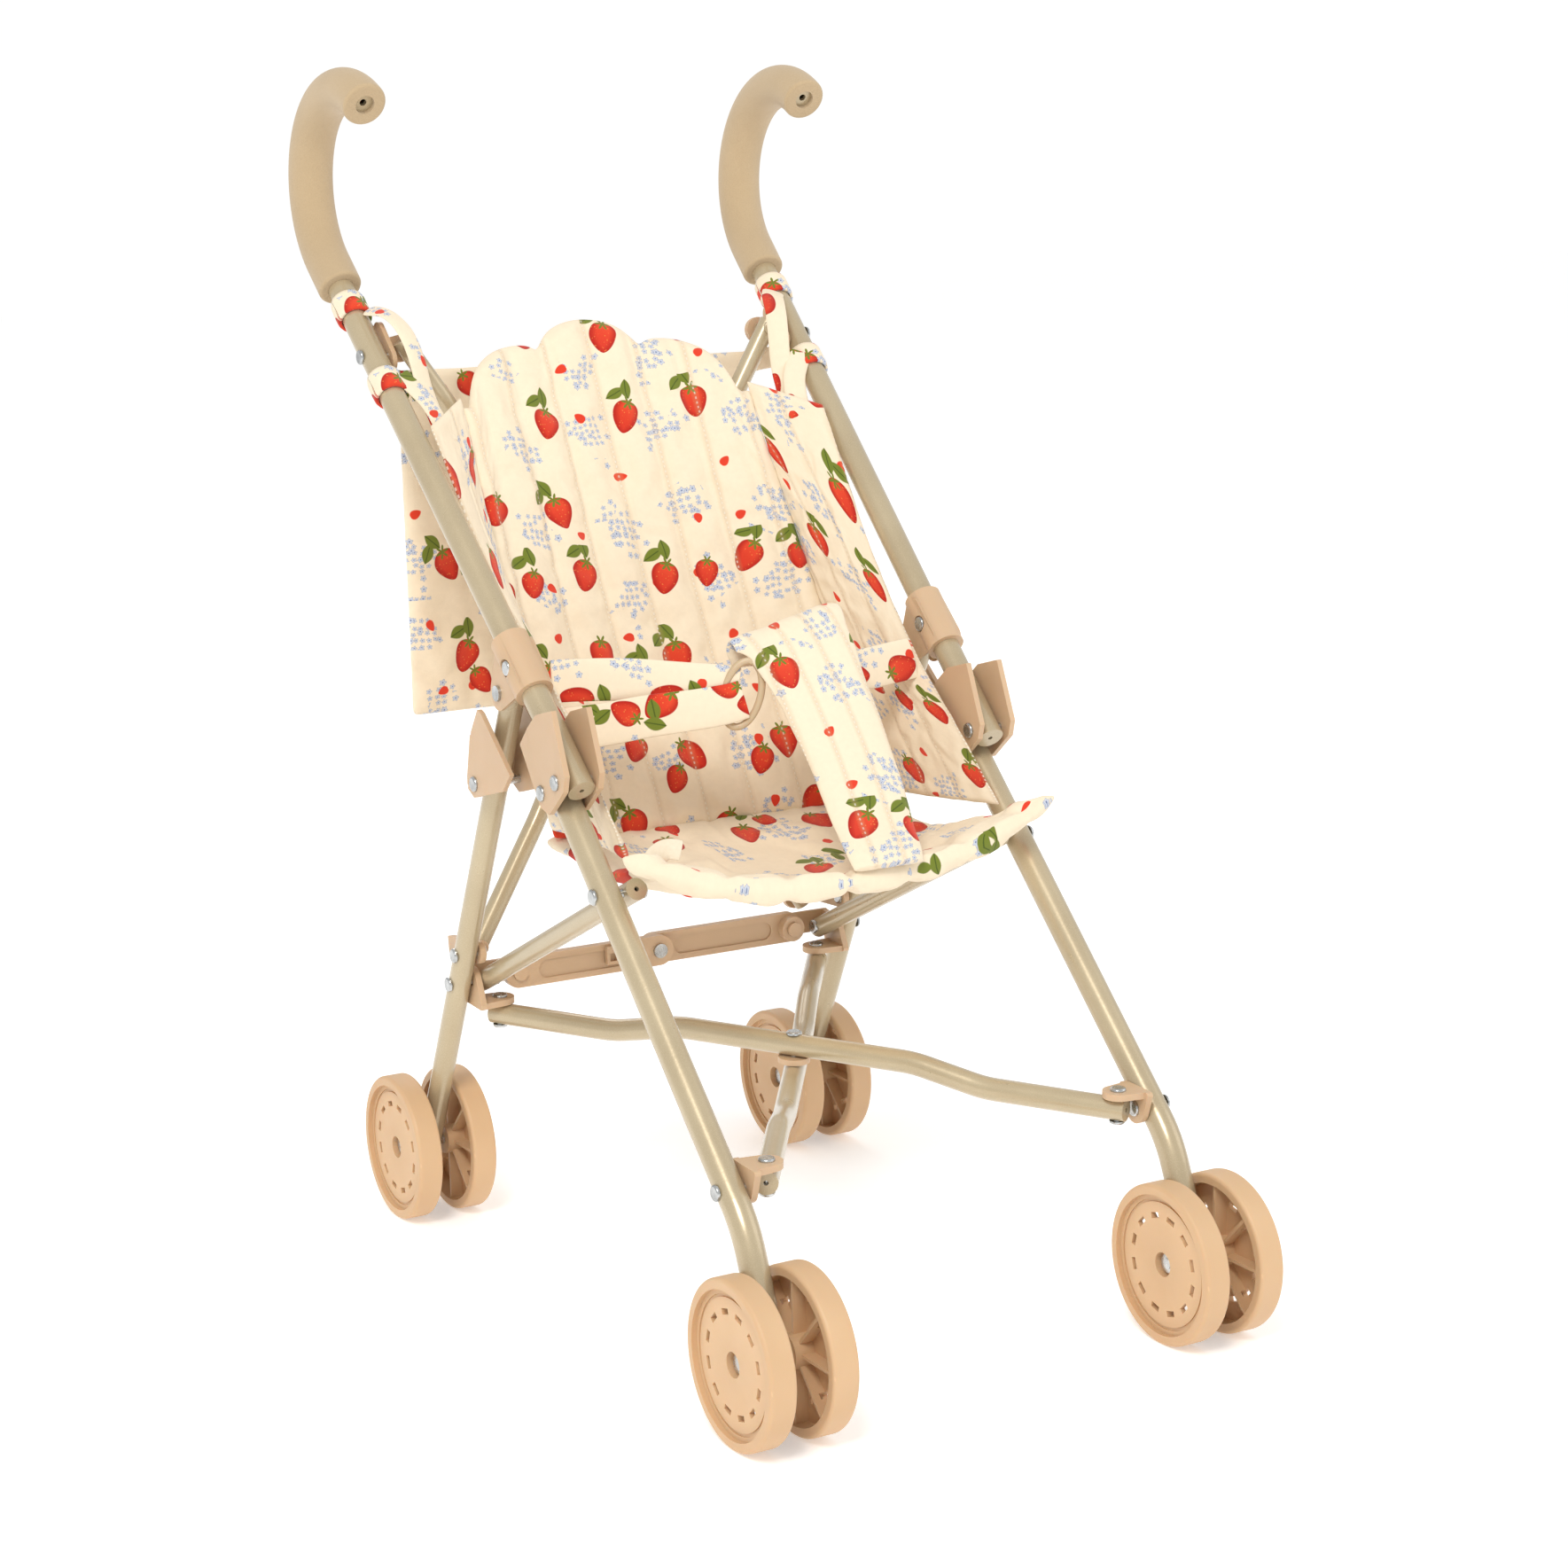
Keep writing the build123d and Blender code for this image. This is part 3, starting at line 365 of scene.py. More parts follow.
def cotton(name, seam=0.0, plain=False):
    """Printed cotton. With a seam spacing in mm, rows of stitches run along the cloth at that spacing, and painted
    shade darkens the cloth in the dip along each seam.
    """
    g = Graph(name, Roughness=0.92, Sheen_Weight=0.18, Sheen_Roughness=0.5, Specular_IOR_Level=0.25)
    uv = g.node("ShaderNodeUVMap", uv_map="cloth").outputs[0]
    place = g.scaled(uv, 100.0)
    plain_cloth = g.mix(g.noise(place, 0.6, 3), srgb(238, 226, 204), srgb(228, 212, 186))
    colour = plain_cloth if plain else cotton_print(g, place)
    x, y, _ = g.split(place)
    weft = g.math("SINE", g.math("MULTIPLY", x, 2 * pi / THREAD))
    warp = g.math("SINE", g.math("MULTIPLY", y, 2 * pi / THREAD))
    weave = g.math("MULTIPLY", g.math("MULTIPLY", weft, warp), g.noise(place, 1.3, 3))
    slub = g.noise(g.vector("MULTIPLY", place, (0.25, 2.2, 1)), 1.0, 3)
    cloth_height = g.math("ADD", g.math("MULTIPLY", weave, 0.5), g.math("MULTIPLY", slub, 0.5))
    normal = g.bump(cloth_height, 0.35, 0.0003)
    crumple = g.noise(g.object_place(), 62.0, 4, 0.55)
    normal = g.bump(crumple, 0.16, 0.002, normal)
    if seam:
        phase = g.math("FRACT", g.math("ADD", g.math("DIVIDE", x, seam), 0.5))
        row = g.math("ABSOLUTE", g.math("SUBTRACT", phase, 0.5))
        near = g.clamp01(g.math("SUBTRACT", 1.0, g.math("MULTIPLY", row, seam / 0.55)))
        dash = g.clamp01(g.math("MULTIPLY", g.math("SINE", g.math("MULTIPLY", y, 2 * pi / STITCH)), 3.0))
        stitch = g.math("MULTIPLY", near, dash)
        # painted shade: the colour darkens towards each seam, in the dip between two puffed channels
        seam_shade = g.clamp01(g.math("SUBTRACT", 1.0, g.math("MULTIPLY", row, seam / 2.2)))
        colour = g.mix(g.math("MULTIPLY", seam_shade, 0.30), colour, srgb(190, 156, 112))
        colour = g.mix(g.math("MULTIPLY", stitch, 0.55), colour, srgb(255, 250, 238))
        normal = g.bump(stitch, 0.5, 0.0006, normal)
    g.set(g.shader, "Base Color", colour)
    g.set(g.shader, "Normal", normal)
    return g.material


# ---- hard materials ---------------------------------------------------------------------
def tube_lacquer():
    """Champagne lacquer over steel, with a fine metallic flake."""
    g = Graph("tube_lacquer", Metallic=0.32, Coat_Weight=0.55, Coat_Roughness=0.12)
    place = g.object_place()
    cloud = g.noise(place, 26.0, 3)
    flake = g.noise(place, 2600.0, 1)
    base = g.mix(g.ramp(cloud, 0.3, 0.7), srgb(190, 174, 142), srgb(181, 164, 132))
    base = g.mix(g.ramp(flake, 0.45, 0.75, 0.0, 0.22), base, srgb(226, 212, 182))
    g.set(g.shader, "Base Color", base)
    g.set(g.shader, "Roughness", g.ramp(g.noise(place, 60.0, 3), 0.3, 0.7, 0.27, 0.36))
    g.set(g.shader, "Normal", g.bump(g.noise(place, 420.0, 2), 0.06, 0.0006))
    return g.material


def moulded(name, light, dark, rough, grain=700.0, scatter_weight=0.12):
    """Moulded plastic with a fine grain, a slight colour drift, and lighter colour on its sharp outer edges."""
    g = Graph(name, Subsurface_Weight=scatter_weight, Subsurface_Scale=0.004)
    g.shader.inputs["Subsurface Radius"].default_value = (1.0, 0.42, 0.16)
    place = g.object_place()
    drift = g.ramp(g.noise(place, 14.0, 3), 0.3, 0.7)
    base = g.mix(drift, light, dark)
    # lighter colour where the surface is sharply convex
    edge = g.ramp(g.node("ShaderNodeNewGeometry").outputs["Pointiness"], 0.53, 0.62, 0.0, 0.35)
    base = g.mix(edge, base, tuple(min(1.0, c * 1.25) for c in light))
    g.set(g.shader, "Base Color", base)
    g.set(g.shader, "Roughness", g.ramp(g.noise(place, 90.0, 3), 0.3, 0.7, rough - 0.05, rough + 0.07))
    g.set(g.shader, "Normal", g.bump(g.noise(place, grain, 2), 0.10, 0.0004))
    return g.material


def plated_steel():
    """Plated rivets and axle ends."""
    g = Graph("plated_steel", Metallic=1.0)
    place = g.object_place()
    base = g.mix(g.ramp(g.noise(place, 160.0, 3), 0.35, 0.7), srgb(206, 208, 208), srgb(166, 168, 168))
    g.set(g.shader, "Base Color", base)
    g.set(g.shader, "Roughness", g.ramp(g.noise(place, 500.0, 3), 0.3, 0.7, 0.18, 0.36))
    g.set(g.shader, "Normal", g.bump(g.noise(place, 900.0, 2), 0.08, 0.0003))
    return g.material


def foam():
    """Matt grip foam with fine pores, with painted shade darkening the pores."""
    g = Graph("foam", Sheen_Weight=0.25, Sheen_Roughness=0.6, Specular_IOR_Level=0.2)
    place = g.object_place()
    pores = g.node("ShaderNodeTexVoronoi", {"Vector": place, "Scale": 1500.0}).outputs["Distance"]
    drift = g.ramp(g.noise(place, 18.0, 4), 0.3, 0.7)
    base = g.mix(drift, srgb(190, 167, 133), srgb(180, 157, 123))
    # painted shade: the colour darkens in each pore, the pits that the bump below makes
    base = g.mix(g.ramp(pores, 0.0, 0.5, 0.22, 0.0), base, srgb(150, 124, 92))
    g.set(g.shader, "Base Color", base)
    g.set(g.shader, "Roughness", g.ramp(g.noise(place, 120.0, 2), 0.3, 0.7, 0.86, 0.98))
    g.set(g.shader, "Normal", g.bump(pores, 0.28, 0.0004, g.bump(g.noise(place, 70.0, 3), 0.15, 0.0012)))
    return g.material


MATERIALS = {
    "tube_paint": tube_lacquer(),
    "bracket_plastic": moulded("bracket_plastic", srgb(200, 170, 137), srgb(190, 160, 127), 0.42),
    "rivet_steel": plated_steel(),
    "wheel_plastic": moulded("wheel_plastic", srgb(213, 178, 138), srgb(204, 167, 127), 0.50, 900.0, 0.15),
    "grip_foam": foam(),
    "ring_plastic": moulded("ring_plastic", srgb(206, 184, 150), srgb(196, 172, 138), 0.35),
}
COTTON = cotton("cotton_print")
LABEL = cotton("label_tape", plain=True)
STRAP_STEP = 14.0        # between seams on the crotch strap, in mm
STRAP_COTTON = cotton("cotton_strap", STRAP_STEP)
QUILT_STEP = 25.0        # between seams on the quilted panels, in mm
QUILTED = cotton("cotton_quilted", QUILT_STEP)


def dress_frame():
    """Gives every CAD piece that stays its finished material."""
    slot_of = {part["node"]: part["material_slot"] for part in frame["record"]["subparts"]}
    for node, piece in frame["nodes"].items():
        material = MATERIALS.get(slot_of[node])
        if material is None:
            continue
        for slot in piece.material_slots:
            slot.material = material


# ---- cloth panels -----------------------------------------------------------------------
def add_mesh(name, vertices, faces, uvs, material):
    """A smooth-shaded mesh whose "cloth" map holds one (u, v) in mm / 100 for each vertex."""
    mesh = bpy.data.meshes.new(name)
    mesh.from_pydata([tuple(v) for v in vertices], [], faces)
    layer = mesh.uv_layers.new(name="cloth")
    for loop in mesh.loops:
        u, v = uvs[loop.vertex_index]
        layer.data[loop.index].uv = (u / 100, v / 100)
    mesh.materials.append(material)
    for polygon in mesh.polygons:
        polygon.use_smooth = True
    piece = bpy.data.objects.new(name, mesh)
    bpy.context.scene.collection.objects.link(piece)
    return piece


def panel(name, surface, across, up, half, cloth, material, pinned):
    """A closed, stuffed panel built on a surface of (s, t) in 0..1.

    half(s, t) is half its thickness in mm, cloth(s, t) its place on the flat cloth in mm, and
    pinned(s, t) is 1 where a seam holds both faces together.
    """
    step = 1e-3
    points, normals, uvs, pins = [], [], [], []
    for j in range(up + 1):
        for i in range(across + 1):
            s, t = i / across, j / up
            ds = surface(min(s + step, 1), t) - surface(max(s - step, 0), t)
            dt = surface(s, min(t + step, 1)) - surface(s, max(t - step, 0))
            points.append(surface(s, t))
            normals.append(ds.cross(dt).normalized())
            uvs.append(cloth(s, t))
            pins.append(pinned(s, t))
    count = len(points)
    vertices, pin_weights = [], []
    for sign in (1, -1):
        for k in range(count):
            s, t = (k % (across + 1)) / across, (k // (across + 1)) / up
            vertices.append(points[k] + normals[k] * (sign * half(s, t) / 1000))
            pin_weights.append(pins[k])
    faces = []
    row = across + 1
    for j in range(up):
        for i in range(across):
            a = j * row + i
            faces.append((a, a + 1, a + 1 + row, a + row))
            faces.append((count + a + row, count + a + row + 1, count + a + 1, count + a))
    rim = list(range(row))
    rim += [j * row + across for j in range(1, up + 1)]
    rim += [up * row + i for i in range(across - 1, -1, -1)]
    rim += [j * row for j in range(up - 1, 0, -1)]
    for k, a in enumerate(rim):
        b = rim[(k + 1) % len(rim)]
        faces.append((a, count + a, count + b, b))
    piece = add_mesh(name, vertices, faces, uvs * 2, material)
    group = piece.vertex_groups.new(name="seams")
    for index, weight in enumerate(pin_weights):
        if weight > 0:
            group.add([index], weight, "REPLACE")
    return piece


SETTLE_FRAMES = 16


def inflate(piece, pressure, cap, grow):
    """Puffs a panel between its seams with a short cloth simulation and keeps the result.

    No point moves by more than cap, in mm, and the cloth may grow by the share grow.
    """
    rest = [v.co.copy() for v in piece.data.vertices]
    cloth = piece.modifiers.new("cloth", "CLOTH")
    settings = cloth.settings
    settings.quality = 6
    settings.mass = 0.2
    settings.tension_stiffness = settings.compression_stiffness = 18
    settings.shear_stiffness = 8
    settings.bending_stiffness = 0.8
    settings.use_pressure = True
    settings.uniform_pressure_force = pressure
    settings.shrink_min = -grow
    settings.vertex_group_mass = "seams"
    settings.effector_weights.gravity = 0
    cloth.collision_settings.use_collision = False
    cloth.point_cache.frame_start, cloth.point_cache.frame_end = 1, SETTLE_FRAMES
    scene = bpy.context.scene
    for number in range(1, SETTLE_FRAMES + 1):
        scene.frame_set(number)
    settled = piece.evaluated_get(bpy.context.evaluated_depsgraph_get())
    moved = [v.co.copy() for v in settled.data.vertices]
    piece.modifiers.remove(cloth)
    for vertex, start, end in zip(piece.data.vertices, rest, moved):
        shift = end - start
        if shift.length > cap / 1000:
            shift *= cap / 1000 / shift.length
        vertex.co = start + shift
    piece.data.update()
    scene.frame_set(1)


def finish_cloth(piece, pucker, seed):
    """Subdivides a cloth piece once and adds small creases across its seams, about pucker mm deep."""
    subdivide = piece.modifiers.new("smooth", "SUBSURF")
    subdivide.levels = subdivide.render_levels = 1
    bpy.context.view_layer.objects.active = piece
    with bpy.context.temp_override(object=piece, active_object=piece):
        bpy.ops.object.modifier_apply(modifier="smooth")
    mesh = piece.data
    normals = [v.normal.copy() for v in mesh.vertices]
    for vertex, normal in zip(mesh.vertices, normals):
        place = vertex.co * 62 + Vector((seed, seed, seed))
        fine = noise.noise(Vector((place.x * 0.8, place.y * 2.0, place.z * 2.0)))
        broad = noise.noise(place * 0.32)
        vertex.co += normal * ((fine * 0.55 + broad * 0.9) * pucker / 1000)
    mesh.update()


def channel(value, step):
    """How far a place is from the nearest seam, 0 on it and 1 midway to the next."""
    offset = value / step - round(value / step)
    return min(1.0, abs(offset) * 2)


def puff(value, step):
    """The rounded height of the stuffing at a place, 0 on a seam and 1 midway to the next."""
    c = channel(value, step)
    return sqrt(max(0.0, 1 - (1 - c) ** 2.2))


def fold_with(piece, body):
    """Makes a cloth piece ride a body, on a mesh of its own."""
    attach(piece, body)
    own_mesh(piece)


# seat back: the line it lies on, its outline and its curve, in mm
BACK_FOOT = at(0, 243, 203)
BACK_UP = Vector((0, 0.4609, 0.8875))
BACK_OUT = Vector((0, -0.8875, 0.4609))
BACK_HALF = 87.0
BACK_HIGH = 250
BACK_BOW = 12.0
SEAM_HOLD = 2        # how far in from its edge a panel's faces are held together


def back_top(x):
    """Height of the scalloped top edge along the seat back, in mm."""
    x = abs(x)
    if x < 28.7:
        return 249 + 17.5 * sqrt(max(0.0, 1 - (x / 29.4) ** 2))
    if x < 40:
        return 253.5 - 5.0 * ((40 - x) / 11.3) ** 2
    if x < 80:
        return 219 + 34.5 * sqrt(max(0.0, 1 - ((x - 40) / 40.5) ** 2))
    return 219.0


def back_point(x, v):
    """A point of the seat back at x across and v up, in mm."""
    bow = BACK_BOW * (abs(x) / BACK_HALF) ** 2.2
    sag = -3.0 * (1 - (x / BACK_HALF) ** 2) * sin(pi * min(1, v / BACK_HIGH))
    return BACK_FOOT + Vector((x / 1000, 0, 0)) + BACK_UP * (v / 1000) + BACK_OUT * ((bow + sag) / 1000)


def make_backrest():
    """The quilted seat back, with a scalloped top and channels that run up it."""
    across, up = 56, 66

    def place(s, t):
        v = t * back_top((s * 2 - 1) * BACK_HALF)
        half_width = BACK_HALF - 8.0 * smooth((v - 60) / 180)
        return (s * 2 - 1) * half_width, v

    def surface(s, t):
        return back_point(*place(s, t))

    def half(s, t):
        rim = min(1.0, min(s, 1 - s) * 2 * BACK_HALF / 7, (1 - t) * BACK_HIGH / 7, t * BACK_HIGH / 7)
        return 0.7 + 4.0 * puff((s * 2 - 1) * BACK_HALF, QUILT_STEP) * smooth(rim) ** 0.5

    def cloth(s, t):
        x, v = place(s, t)
        return x, v + 300

    def pinned(s, t):
        edge = min(s, 1 - s) * 2 * BACK_HALF < SEAM_HOLD or min(t, 1 - t) * BACK_HIGH < SEAM_HOLD
        return 1.0 if edge or channel((s * 2 - 1) * BACK_HALF, QUILT_STEP) < 0.13 else 0.0

    piece = panel("quilted_back", surface, across, up, half, cloth, QUILTED, pinned)
    inflate(piece, 9.0, 3.6, 0.03)
    finish_cloth(piece, 0.6, 3.0)
    fold_with(piece, "handle_left")
    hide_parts("backrest")


# the front edge of each side wing, from the seat up to the handle
WING_HIGH = 215
WING_FRONT = {
    1: ((93.0, 131, 219), (93.0, 168, 252), (94.6, 208, 284), (101.0, 257, 329), (106.6, 309, 394)),
    -1: ((92.0, 146, 214), (92.4, 176, 246), (94.2, 214, 284), (100.6, 262, 331), (106.6, 310, 396)),
}


def make_wing(name, side):
    """A quilted side wing from the front leg and handle back to the seat back."""
    front = [at(side * x, y, z) for x, y, z in WING_FRONT[side]]
    top = 224.0

    def edges(t):
        fore = polyline(front, t)
        v = 4 + (top - 4) * t
        aft = back_point(side * (BACK_HALF + 0.5 - 9.0 * smooth((v - 60) / 180)), v)
        return fore, aft

    def width(t):
        fore, aft = edges(t)
        return (aft - fore).length * 1000

    def surface(s, t):
        fore, aft = edges(t)
        point = lerp(fore, aft, s if side > 0 else 1 - s)
        inward = 4.0 * sin(pi * s) * (1 - t) ** 1.5
        return point - Vector((side * inward / 1000, 0, 0))

    def away(s, t):
        return (s if side > 0 else 1 - s) * width(t)

    def half(s, t):
        rim = min(1.0, min(s, 1 - s) * width(t) / 6, min(t, 1 - t) * WING_HIGH / 6)
        return 0.7 + 2.3 * puff(away(s, t), QUILT_STEP) * smooth(rim) ** 0.5

    def cloth(s, t):
        return away(s, t), t * 240 + 120 * (side + 2)

    def pinned(s, t):
        edge = min(s, 1 - s) * width(t) < 1.8 or min(t, 1 - t) * WING_HIGH < SEAM_HOLD
        return 1.0 if edge or channel(away(s, t), QUILT_STEP) < 0.13 else 0.0

    piece = panel(f"side_wing_{name}_quilt", surface, 34, 56, half, cloth, QUILTED, pinned)
    inflate(piece, 5.0, 1.6, 0.02)
    finish_cloth(piece, 0.5, 9.0 + side)
    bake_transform(piece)
    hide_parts(f"side_wing_{name}")


# the seat: half its width at the seat back, and its size along the cloth, in mm
SEAT_HALF = 87
SEAT_WIDE, SEAT_DEEP = 180, 145


def make_seat():
    """The seat, which dips in the middle and rises at its front corners."""
    across, up = 60, 44
    spine = [at(0, *yz) for yz in ((244, 203), (226, 199), (190, 194), (160, 192.5),
                                   (135, 194), (119, 197), (109, 199))]
    rise = ((0.0, 2.0), (0.35, 8.0), (0.7, 19.0), (1.0, 25.0))
    widths = ((0.0, 86.0), (0.55, 87.0), (0.74, 90.0), (0.86, 101.0), (1.0, 112.0))

    def table(rows, t):
        for (t0, v0), (t1, v1) in zip(rows, rows[1:]):
            if t <= t1:
                return lerp(v0, v1, smooth((t - t0) / (t1 - t0)))
        return rows[-1][1]

    def surface(s, t):
        a = s * 2 - 1
        point = polyline(spine, t)
        lift = table(rise, t) * abs(a) ** 2.6
        forward = 4.0 * (a * a) * t
        return point + Vector((a * table(widths, t) / 1000, forward / 1000, lift / 1000))

    def half(s, t):
        rim = min(1.0, min(s, 1 - s) * SEAT_WIDE / 6, (1 - t) * SEAT_DEEP / 5, t * SEAT_DEEP / 5)
        front = 1.0 + 1.1 * smooth((t - 0.75) / 0.15)
        return 1.0 + 2.6 * front * puff((s * 2 - 1) * SEAT_HALF, QUILT_STEP) ** 0.6 * smooth(rim) ** 0.5

    def cloth(s, t):
        return (s * 2 - 1) * table(widths, t), 240 - t * SEAT_DEEP

    def pinned(s, t):
        edge = min(s, 1 - s) * SEAT_WIDE < SEAM_HOLD or min(t, 1 - t) * SEAT_DEEP < SEAM_HOLD
        return 1.0 if edge or channel((s * 2 - 1) * SEAT_HALF, QUILT_STEP) < 0.12 else 0.0

    piece = panel("seat_quilt", surface, across, up, half, cloth, COTTON, pinned)
    inflate(piece, 6.0, 2.2, 0.03)
    finish_cloth(piece, 0.6, 21.0)
    fold_with(piece, "front_frame_left")
    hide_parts("seat_pad")


# the rear pocket: half its width, its height and the space between its seams, in mm
POCKET_HALF, POCKET_HIGH, POCKET_STEP = 97, 172, 32.0


def make_rear_pocket():
    """The flat pocket that hangs behind the seat back."""
    across, up = 48, 44

    def surface(s, t):
        a = s * 2 - 1
        droop = 2.5 * sin(3 * pi * s) * (1 - t)
        belly = 3.0 * (1 - a * a) * sin(pi * t)
        return at(a * POCKET_HALF, 371 + belly + droop, 247 + POCKET_HIGH * t + 1.5 * abs(a) * (1 - t))

    def half(s, t):
        rim = min(1.0, min(s, 1 - s) * (2 * POCKET_HALF) / 5, min(t, 1 - t) * POCKET_HIGH / 5)
        return 0.8 + 1.9 * puff((s * 2 - 1) * POCKET_HALF, POCKET_STEP) * smooth(rim) ** 0.5

    def cloth(s, t):
        return (s * 2 - 1) * POCKET_HALF + 33, t * POCKET_HIGH + 700

    def pinned(s, t):
        edge = min(s, 1 - s) * (2 * POCKET_HALF) < SEAM_HOLD or min(t, 1 - t) * POCKET_HIGH < SEAM_HOLD
        return 1.0 if edge or channel((s * 2 - 1) * POCKET_HALF, POCKET_STEP) < 0.12 else 0.0

    piece = panel("rear_pocket", surface, across, up, half, cloth, COTTON, pinned)
    inflate(piece, 2.0, 1.4, 0.03)
    finish_cloth(piece, 0.6, 31.0)
    fold_with(piece, "handle_left")
    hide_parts("rear_bag")


# ---- straps and belts -------------------------------------------------------------------
def strap(name, path, face, widths, thickness, steps, across, crown, offset,
          material=COTTON, seams=0):
    """A flat strap along path (points in mm) whose broad face looks along face; also its length in mm."""
    points = [at(*p) for p in path]
    centres = [polyline(points, k / steps) for k in range(steps + 1)]
    vertices, uvs, faces = [], [], []
    ring = 2 * across
    travelled = 0.0
    for k, centre in enumerate(centres):
        ahead = centres[min(k + 1, steps)] - centres[max(k - 1, 0)]
        ahead.normalize()
        look = Vector(face(k / steps) if callable(face) else face)
        side = ahead.cross(look).normalized()
        out = side.cross(ahead).normalized()
        if k:
            travelled += (centres[k] - centres[k - 1]).length * 1000
        t = k / steps
        span = len(widths) - 1
        stretch = int(t * span)
        width, next_width = widths[min(stretch, span)], widths[min(stretch + 1, span)]
        half_width = lerp(width, next_width, smooth(t * span - stretch)) / 2
        for n in range(ring):
            upper = n < across
            q = (n if upper else ring - 1 - n) / (across - 1) * 2 - 1
            rim = sqrt(max(0.0, 1 - abs(q) ** 6))
            swell = 1.0
            if seams:
                swell = 0.45 + 0.55 * puff((q + 1) * seams / 2, 1.0)
            height = (thickness / 2) * (0.35 + 0.65 * rim) * swell
            arch = crown * (1 - q * q)
            lift = height + arch if upper else -height + arch * 0.6
            vertices.append(centre + side * (q * half_width / 1000) + out * (lift / 1000))
            uvs.append((q * half_width + offset[0], travelled + offset[1]))
    for k in range(steps):
        for n in range(ring):
            a, b = k * ring + n, k * ring + (n + 1) % ring
            faces.append((a, b, b + ring, a + ring))
    faces.append(tuple(range(ring - 1, -1, -1)))
    faces.append(tuple(steps * ring + n for n in range(ring)))
    return add_mesh(name, vertices, faces, uvs, material), travelled


def soften(piece):
    """The finish that every strap gets."""
    finish_cloth(piece, 0.25, 5.0)


def make_crotch_strap():
    """The padded strap from the seat's front edge up and over the belt."""
    path = ((18, 107, 204), (18.5, 112, 210), (20, 124, 221), (22, 142, 242), (22, 160, 264), (20, 174, 283),
            (18, 184, 296), (16.5, 191, 302), (16, 196.5, 300), (16, 198.5, 292), (16, 198, 285))

    def face(t):
        return (-0.12, -0.80, 0.58) if t < 0.62 else (-0.12, lerp(-0.8, 0.95, smooth((t - 0.62) / 0.25)), 0.5)

    piece, _ = strap("crotch_strap_padded", path, face, (34, 37, 41, 45, 52, 60, 61, 56),
                     5.0, 60, 14, 1.6, (63, 410), STRAP_COTTON, 3)
    soften(piece)
    fold_with(piece, "front_frame_left")
    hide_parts("crotch_strap")


BELT_WIDE = 20


def make_belts():
    """The lap belt: two bands on the left that meet in the ring, and one on the right."""
    left_upper = ((-91, 221, 284), (-78, 217, 284), (-56, 209, 283),
                  (-36, 199, 281), (-20, 190, 279.5), (-13, 186, 278))
    left_lower = ((-90, 212, 263), (-74, 207, 264), (-54, 199, 267),
                  (-34, 191, 269), (-20, 185, 271), (-12, 182, 273))
    right = ((90, 200, 280), (78, 199, 279), (65, 197, 278), (52, 195, 278), (40, 194, 279), (28, 194, 281))
    widths = (BELT_WIDE, BELT_WIDE, BELT_WIDE - 1, BELT_WIDE - 2)
    rows = (("lap_belt_left_upper", left_upper, "lap_belt_left", 0),
            ("lap_belt_left_lower", left_lower, "lap_belt_left", 90),
            ("lap_belt_right_band", right, "lap_belt_right", 180))
    for name, path, node, shift in rows:
        piece, length = strap(name, path, (-0.25, -0.93, 0.25), widths, 1.6, 36, 8, 0.5,
                              (shift, 500 + shift))
        soften(piece)
        fold_with(piece, "handle_left")
        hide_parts(node)


def ring_faces(rows, around):
    """The faces of a closed tube of vertices, rows rings of around points each, joined end to end."""
    faces = []
    for k in range(rows):
        for n in range(around):
            after, beside = (k + 1) % rows, (n + 1) % around
            faces.append((k * around + n, k * around + beside, after * around + beside, after * around + n))
    return faces


# the belt ring: half its width and height, and half its bar's thickness each way, in mm
RING_WIDE, RING_HIGH = 8.4, 15.5
RING_BAR = (1.7, 1.5)


def make_ring():
    """The ring that joins the belts to the crotch strap: an oval bar bent into a D."""
    centre = at(-12, 184.5, 275)
    right_dir = Vector((0.82, -0.50, -0.28)).normalized()
    up_dir = Vector((0.30, 0.0, 0.95)).normalized()
    out = right_dir.cross(up_dir).normalized()
    up_dir = out.cross(right_dir).normalized()
    turns, section = 56, 12
    vertices, uvs = [], []
    for k in range(turns):
        a = 2 * pi * k / turns
        point = centre + right_dir * (cos(a) * RING_WIDE / 1000) + up_dir * (sin(a) * RING_HIGH / 1000)
        radial = (right_dir * (cos(a) * RING_HIGH) + up_dir * (sin(a) * RING_WIDE)).normalized()
        for n in range(section):
            b = 2 * pi * n / section
            vertices.append(point + radial * (cos(b) * RING_BAR[0] / 1000)
                            + out * (sin(b) * RING_BAR[1] / 1000))
            uvs.append((k, n))
    piece = add_mesh("belt_ring_bar", vertices, ring_faces(turns, section), uvs, MATERIALS["ring_plastic"])
    fold_with(piece, "front_frame_left")
    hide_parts("belt_ring")


HANDLE_RISE = (0.0349, 0.7273, 0.6854)        # the right handle tube's direction; the left one mirrors it
BAND_OUTER, BAND_INNER = 8.5, 6.75            # radius of a band's two faces round the tube, in mm


def handle_spot(side, distance):
    """A point on a handle tube's centre line, this many mm from its fold pivot, and the tube's direction."""
    pivot = PIVOT["handle_fold_right" if side > 0 else "handle_fold_left"]
    along = Vector((side * HANDLE_RISE[0], *HANDLE_RISE[1:])).normalized()
    return pivot + along * (distance / 1000), along


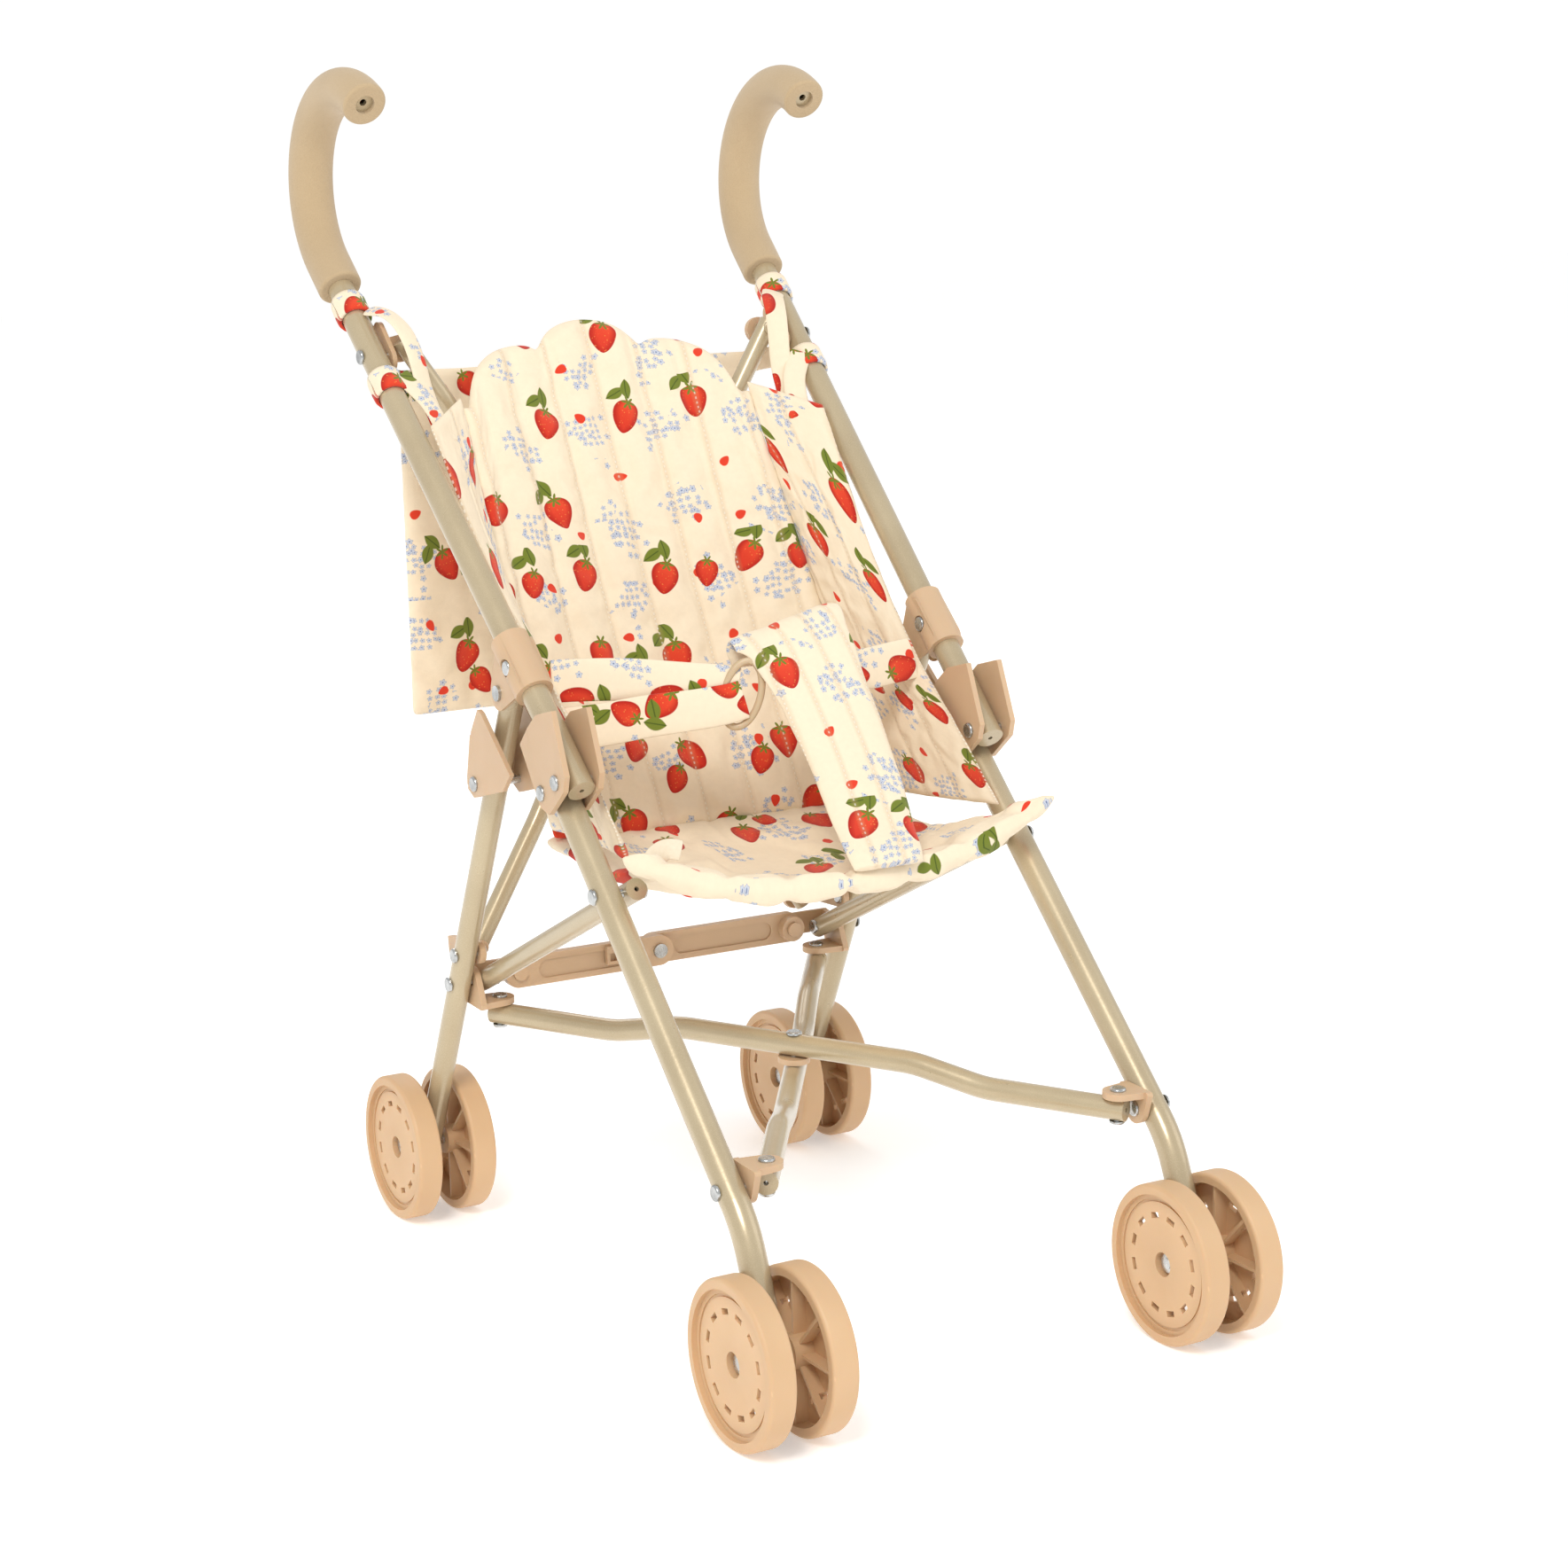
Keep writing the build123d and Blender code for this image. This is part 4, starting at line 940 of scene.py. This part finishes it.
def make_band(name, side, start, end):
    """A cloth band wrapped round a handle tube."""
    turns, rows = 40, 8
    vertices, uvs = [], []
    middle, along = handle_spot(side, (start + end) / 2)
    out = along.cross(Vector((1, 0, 0))).normalized()
    cross = along.cross(out)
    for skin, radius in ((0, BAND_OUTER), (1, BAND_INNER)):
        for j in range(rows + 1):
            step = j if skin == 0 else rows - j
            reach = (step / rows - 0.5) * (end - start)
            for k in range(turns):
                a = 2 * pi * k / turns
                fold = 0.35 * sin(3 * a + side) * sin(pi * step / rows) if skin == 0 else 0.0
                slant = 0.9 * cos(a + 0.6)
                rim = -0.5 if skin == 0 and step in (0, rows) else 0.0
                spoke = cross * cos(a) + out * sin(a)
                vertices.append(middle + along * ((reach + slant) / 1000)
                                + spoke * ((radius + fold + rim) / 1000))
                uvs.append((a * 8 + side * 40, reach + 950))
    piece = add_mesh(name, vertices, ring_faces(2 * (rows + 1), turns), uvs, COTTON)
    return piece


def make_hangers(name, side):
    """The cloth that hangs the seat back on a handle: two bands round the tube and two strips."""
    upper = make_band(f"hanger_band_upper_{name}", side, 284.5, 297)
    lower = make_band(f"hanger_band_lower_{name}", side, 233, 246)
    long_path = ((112, 367, 448.5), (106, 357, 446.5), (102, 347, 439), (99.5, 340.5, 427), (98, 336, 413),
                 (97, 329, 402), (96, 321, 392))
    short_path = ((110, 336, 419), (105, 332, 413), (100.5, 327, 406), (97.5, 320, 397), (96, 313, 388))
    strips = []
    for label, path, width in (("long", long_path, 11.5), ("short", short_path, 12.0)):
        mirrored = [(side * x, y, z) for x, y, z in path]
        waisted = (width, width - 0.6, width - 0.8, width)
        strip, length = strap(f"hanger_strip_{label}_{name}", mirrored, (-0.35 * side, -0.85, 0.4),
                              waisted, 1.5, 26, 8, 0.4, (side * 70 + 20, 640 + len(path) * 9))
        soften(strip)
        strips.append(strip)
    for piece in (upper, lower, *strips):
        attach(piece, f"handle_{name}")
    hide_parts(f"hanger_loop_{name}")


POCKET_STRAP_WIDE = 12


def make_pocket_straps():
    """Short straps that hold the rear pocket's top corners to the handle tubes."""
    path = ((93, 373.5, 412), (99, 371.5, 413.5), (105, 366.5, 415), (110.5, 359.5, 416), (114.5, 352.5, 417))
    widths = (POCKET_STRAP_WIDE + 1, POCKET_STRAP_WIDE, POCKET_STRAP_WIDE)
    for name, side in SIDES:
        mirrored = [(side * x, y, z) for x, y, z in path]
        piece, length = strap(f"pocket_strap_{name}", mirrored, (0.5 * side, 0.8, 0.3), widths,
                              1.5, 22, 8, 0.3, (side * 30 + 55, 820))
        soften(piece)
        fold_with(piece, "handle_left")


LABEL_WIDE = 10.5


def make_label():
    """A small plain label sewn into the seat's left side seam."""
    path = ((-88, 131, 214), (-87, 128, 219), (-83, 125, 222), (-78, 122, 221))
    piece, length = strap("seat_label", path, (-0.2, -0.75, 0.6), (LABEL_WIDE, LABEL_WIDE, LABEL_WIDE),
                          0.9, 14, 6, 0.2, (0, 0), LABEL)
    soften(piece)
    fold_with(piece, "front_frame_left")


make_camera()
make_studio()
dress_frame()
make_backrest()
for side_name, sign in SIDES:
    make_wing(side_name, sign)
make_seat()
make_rear_pocket()
make_crotch_strap()
make_belts()
make_ring()
for side_name, sign in SIDES:
    make_hangers(side_name, sign)
make_pocket_straps()
make_label()
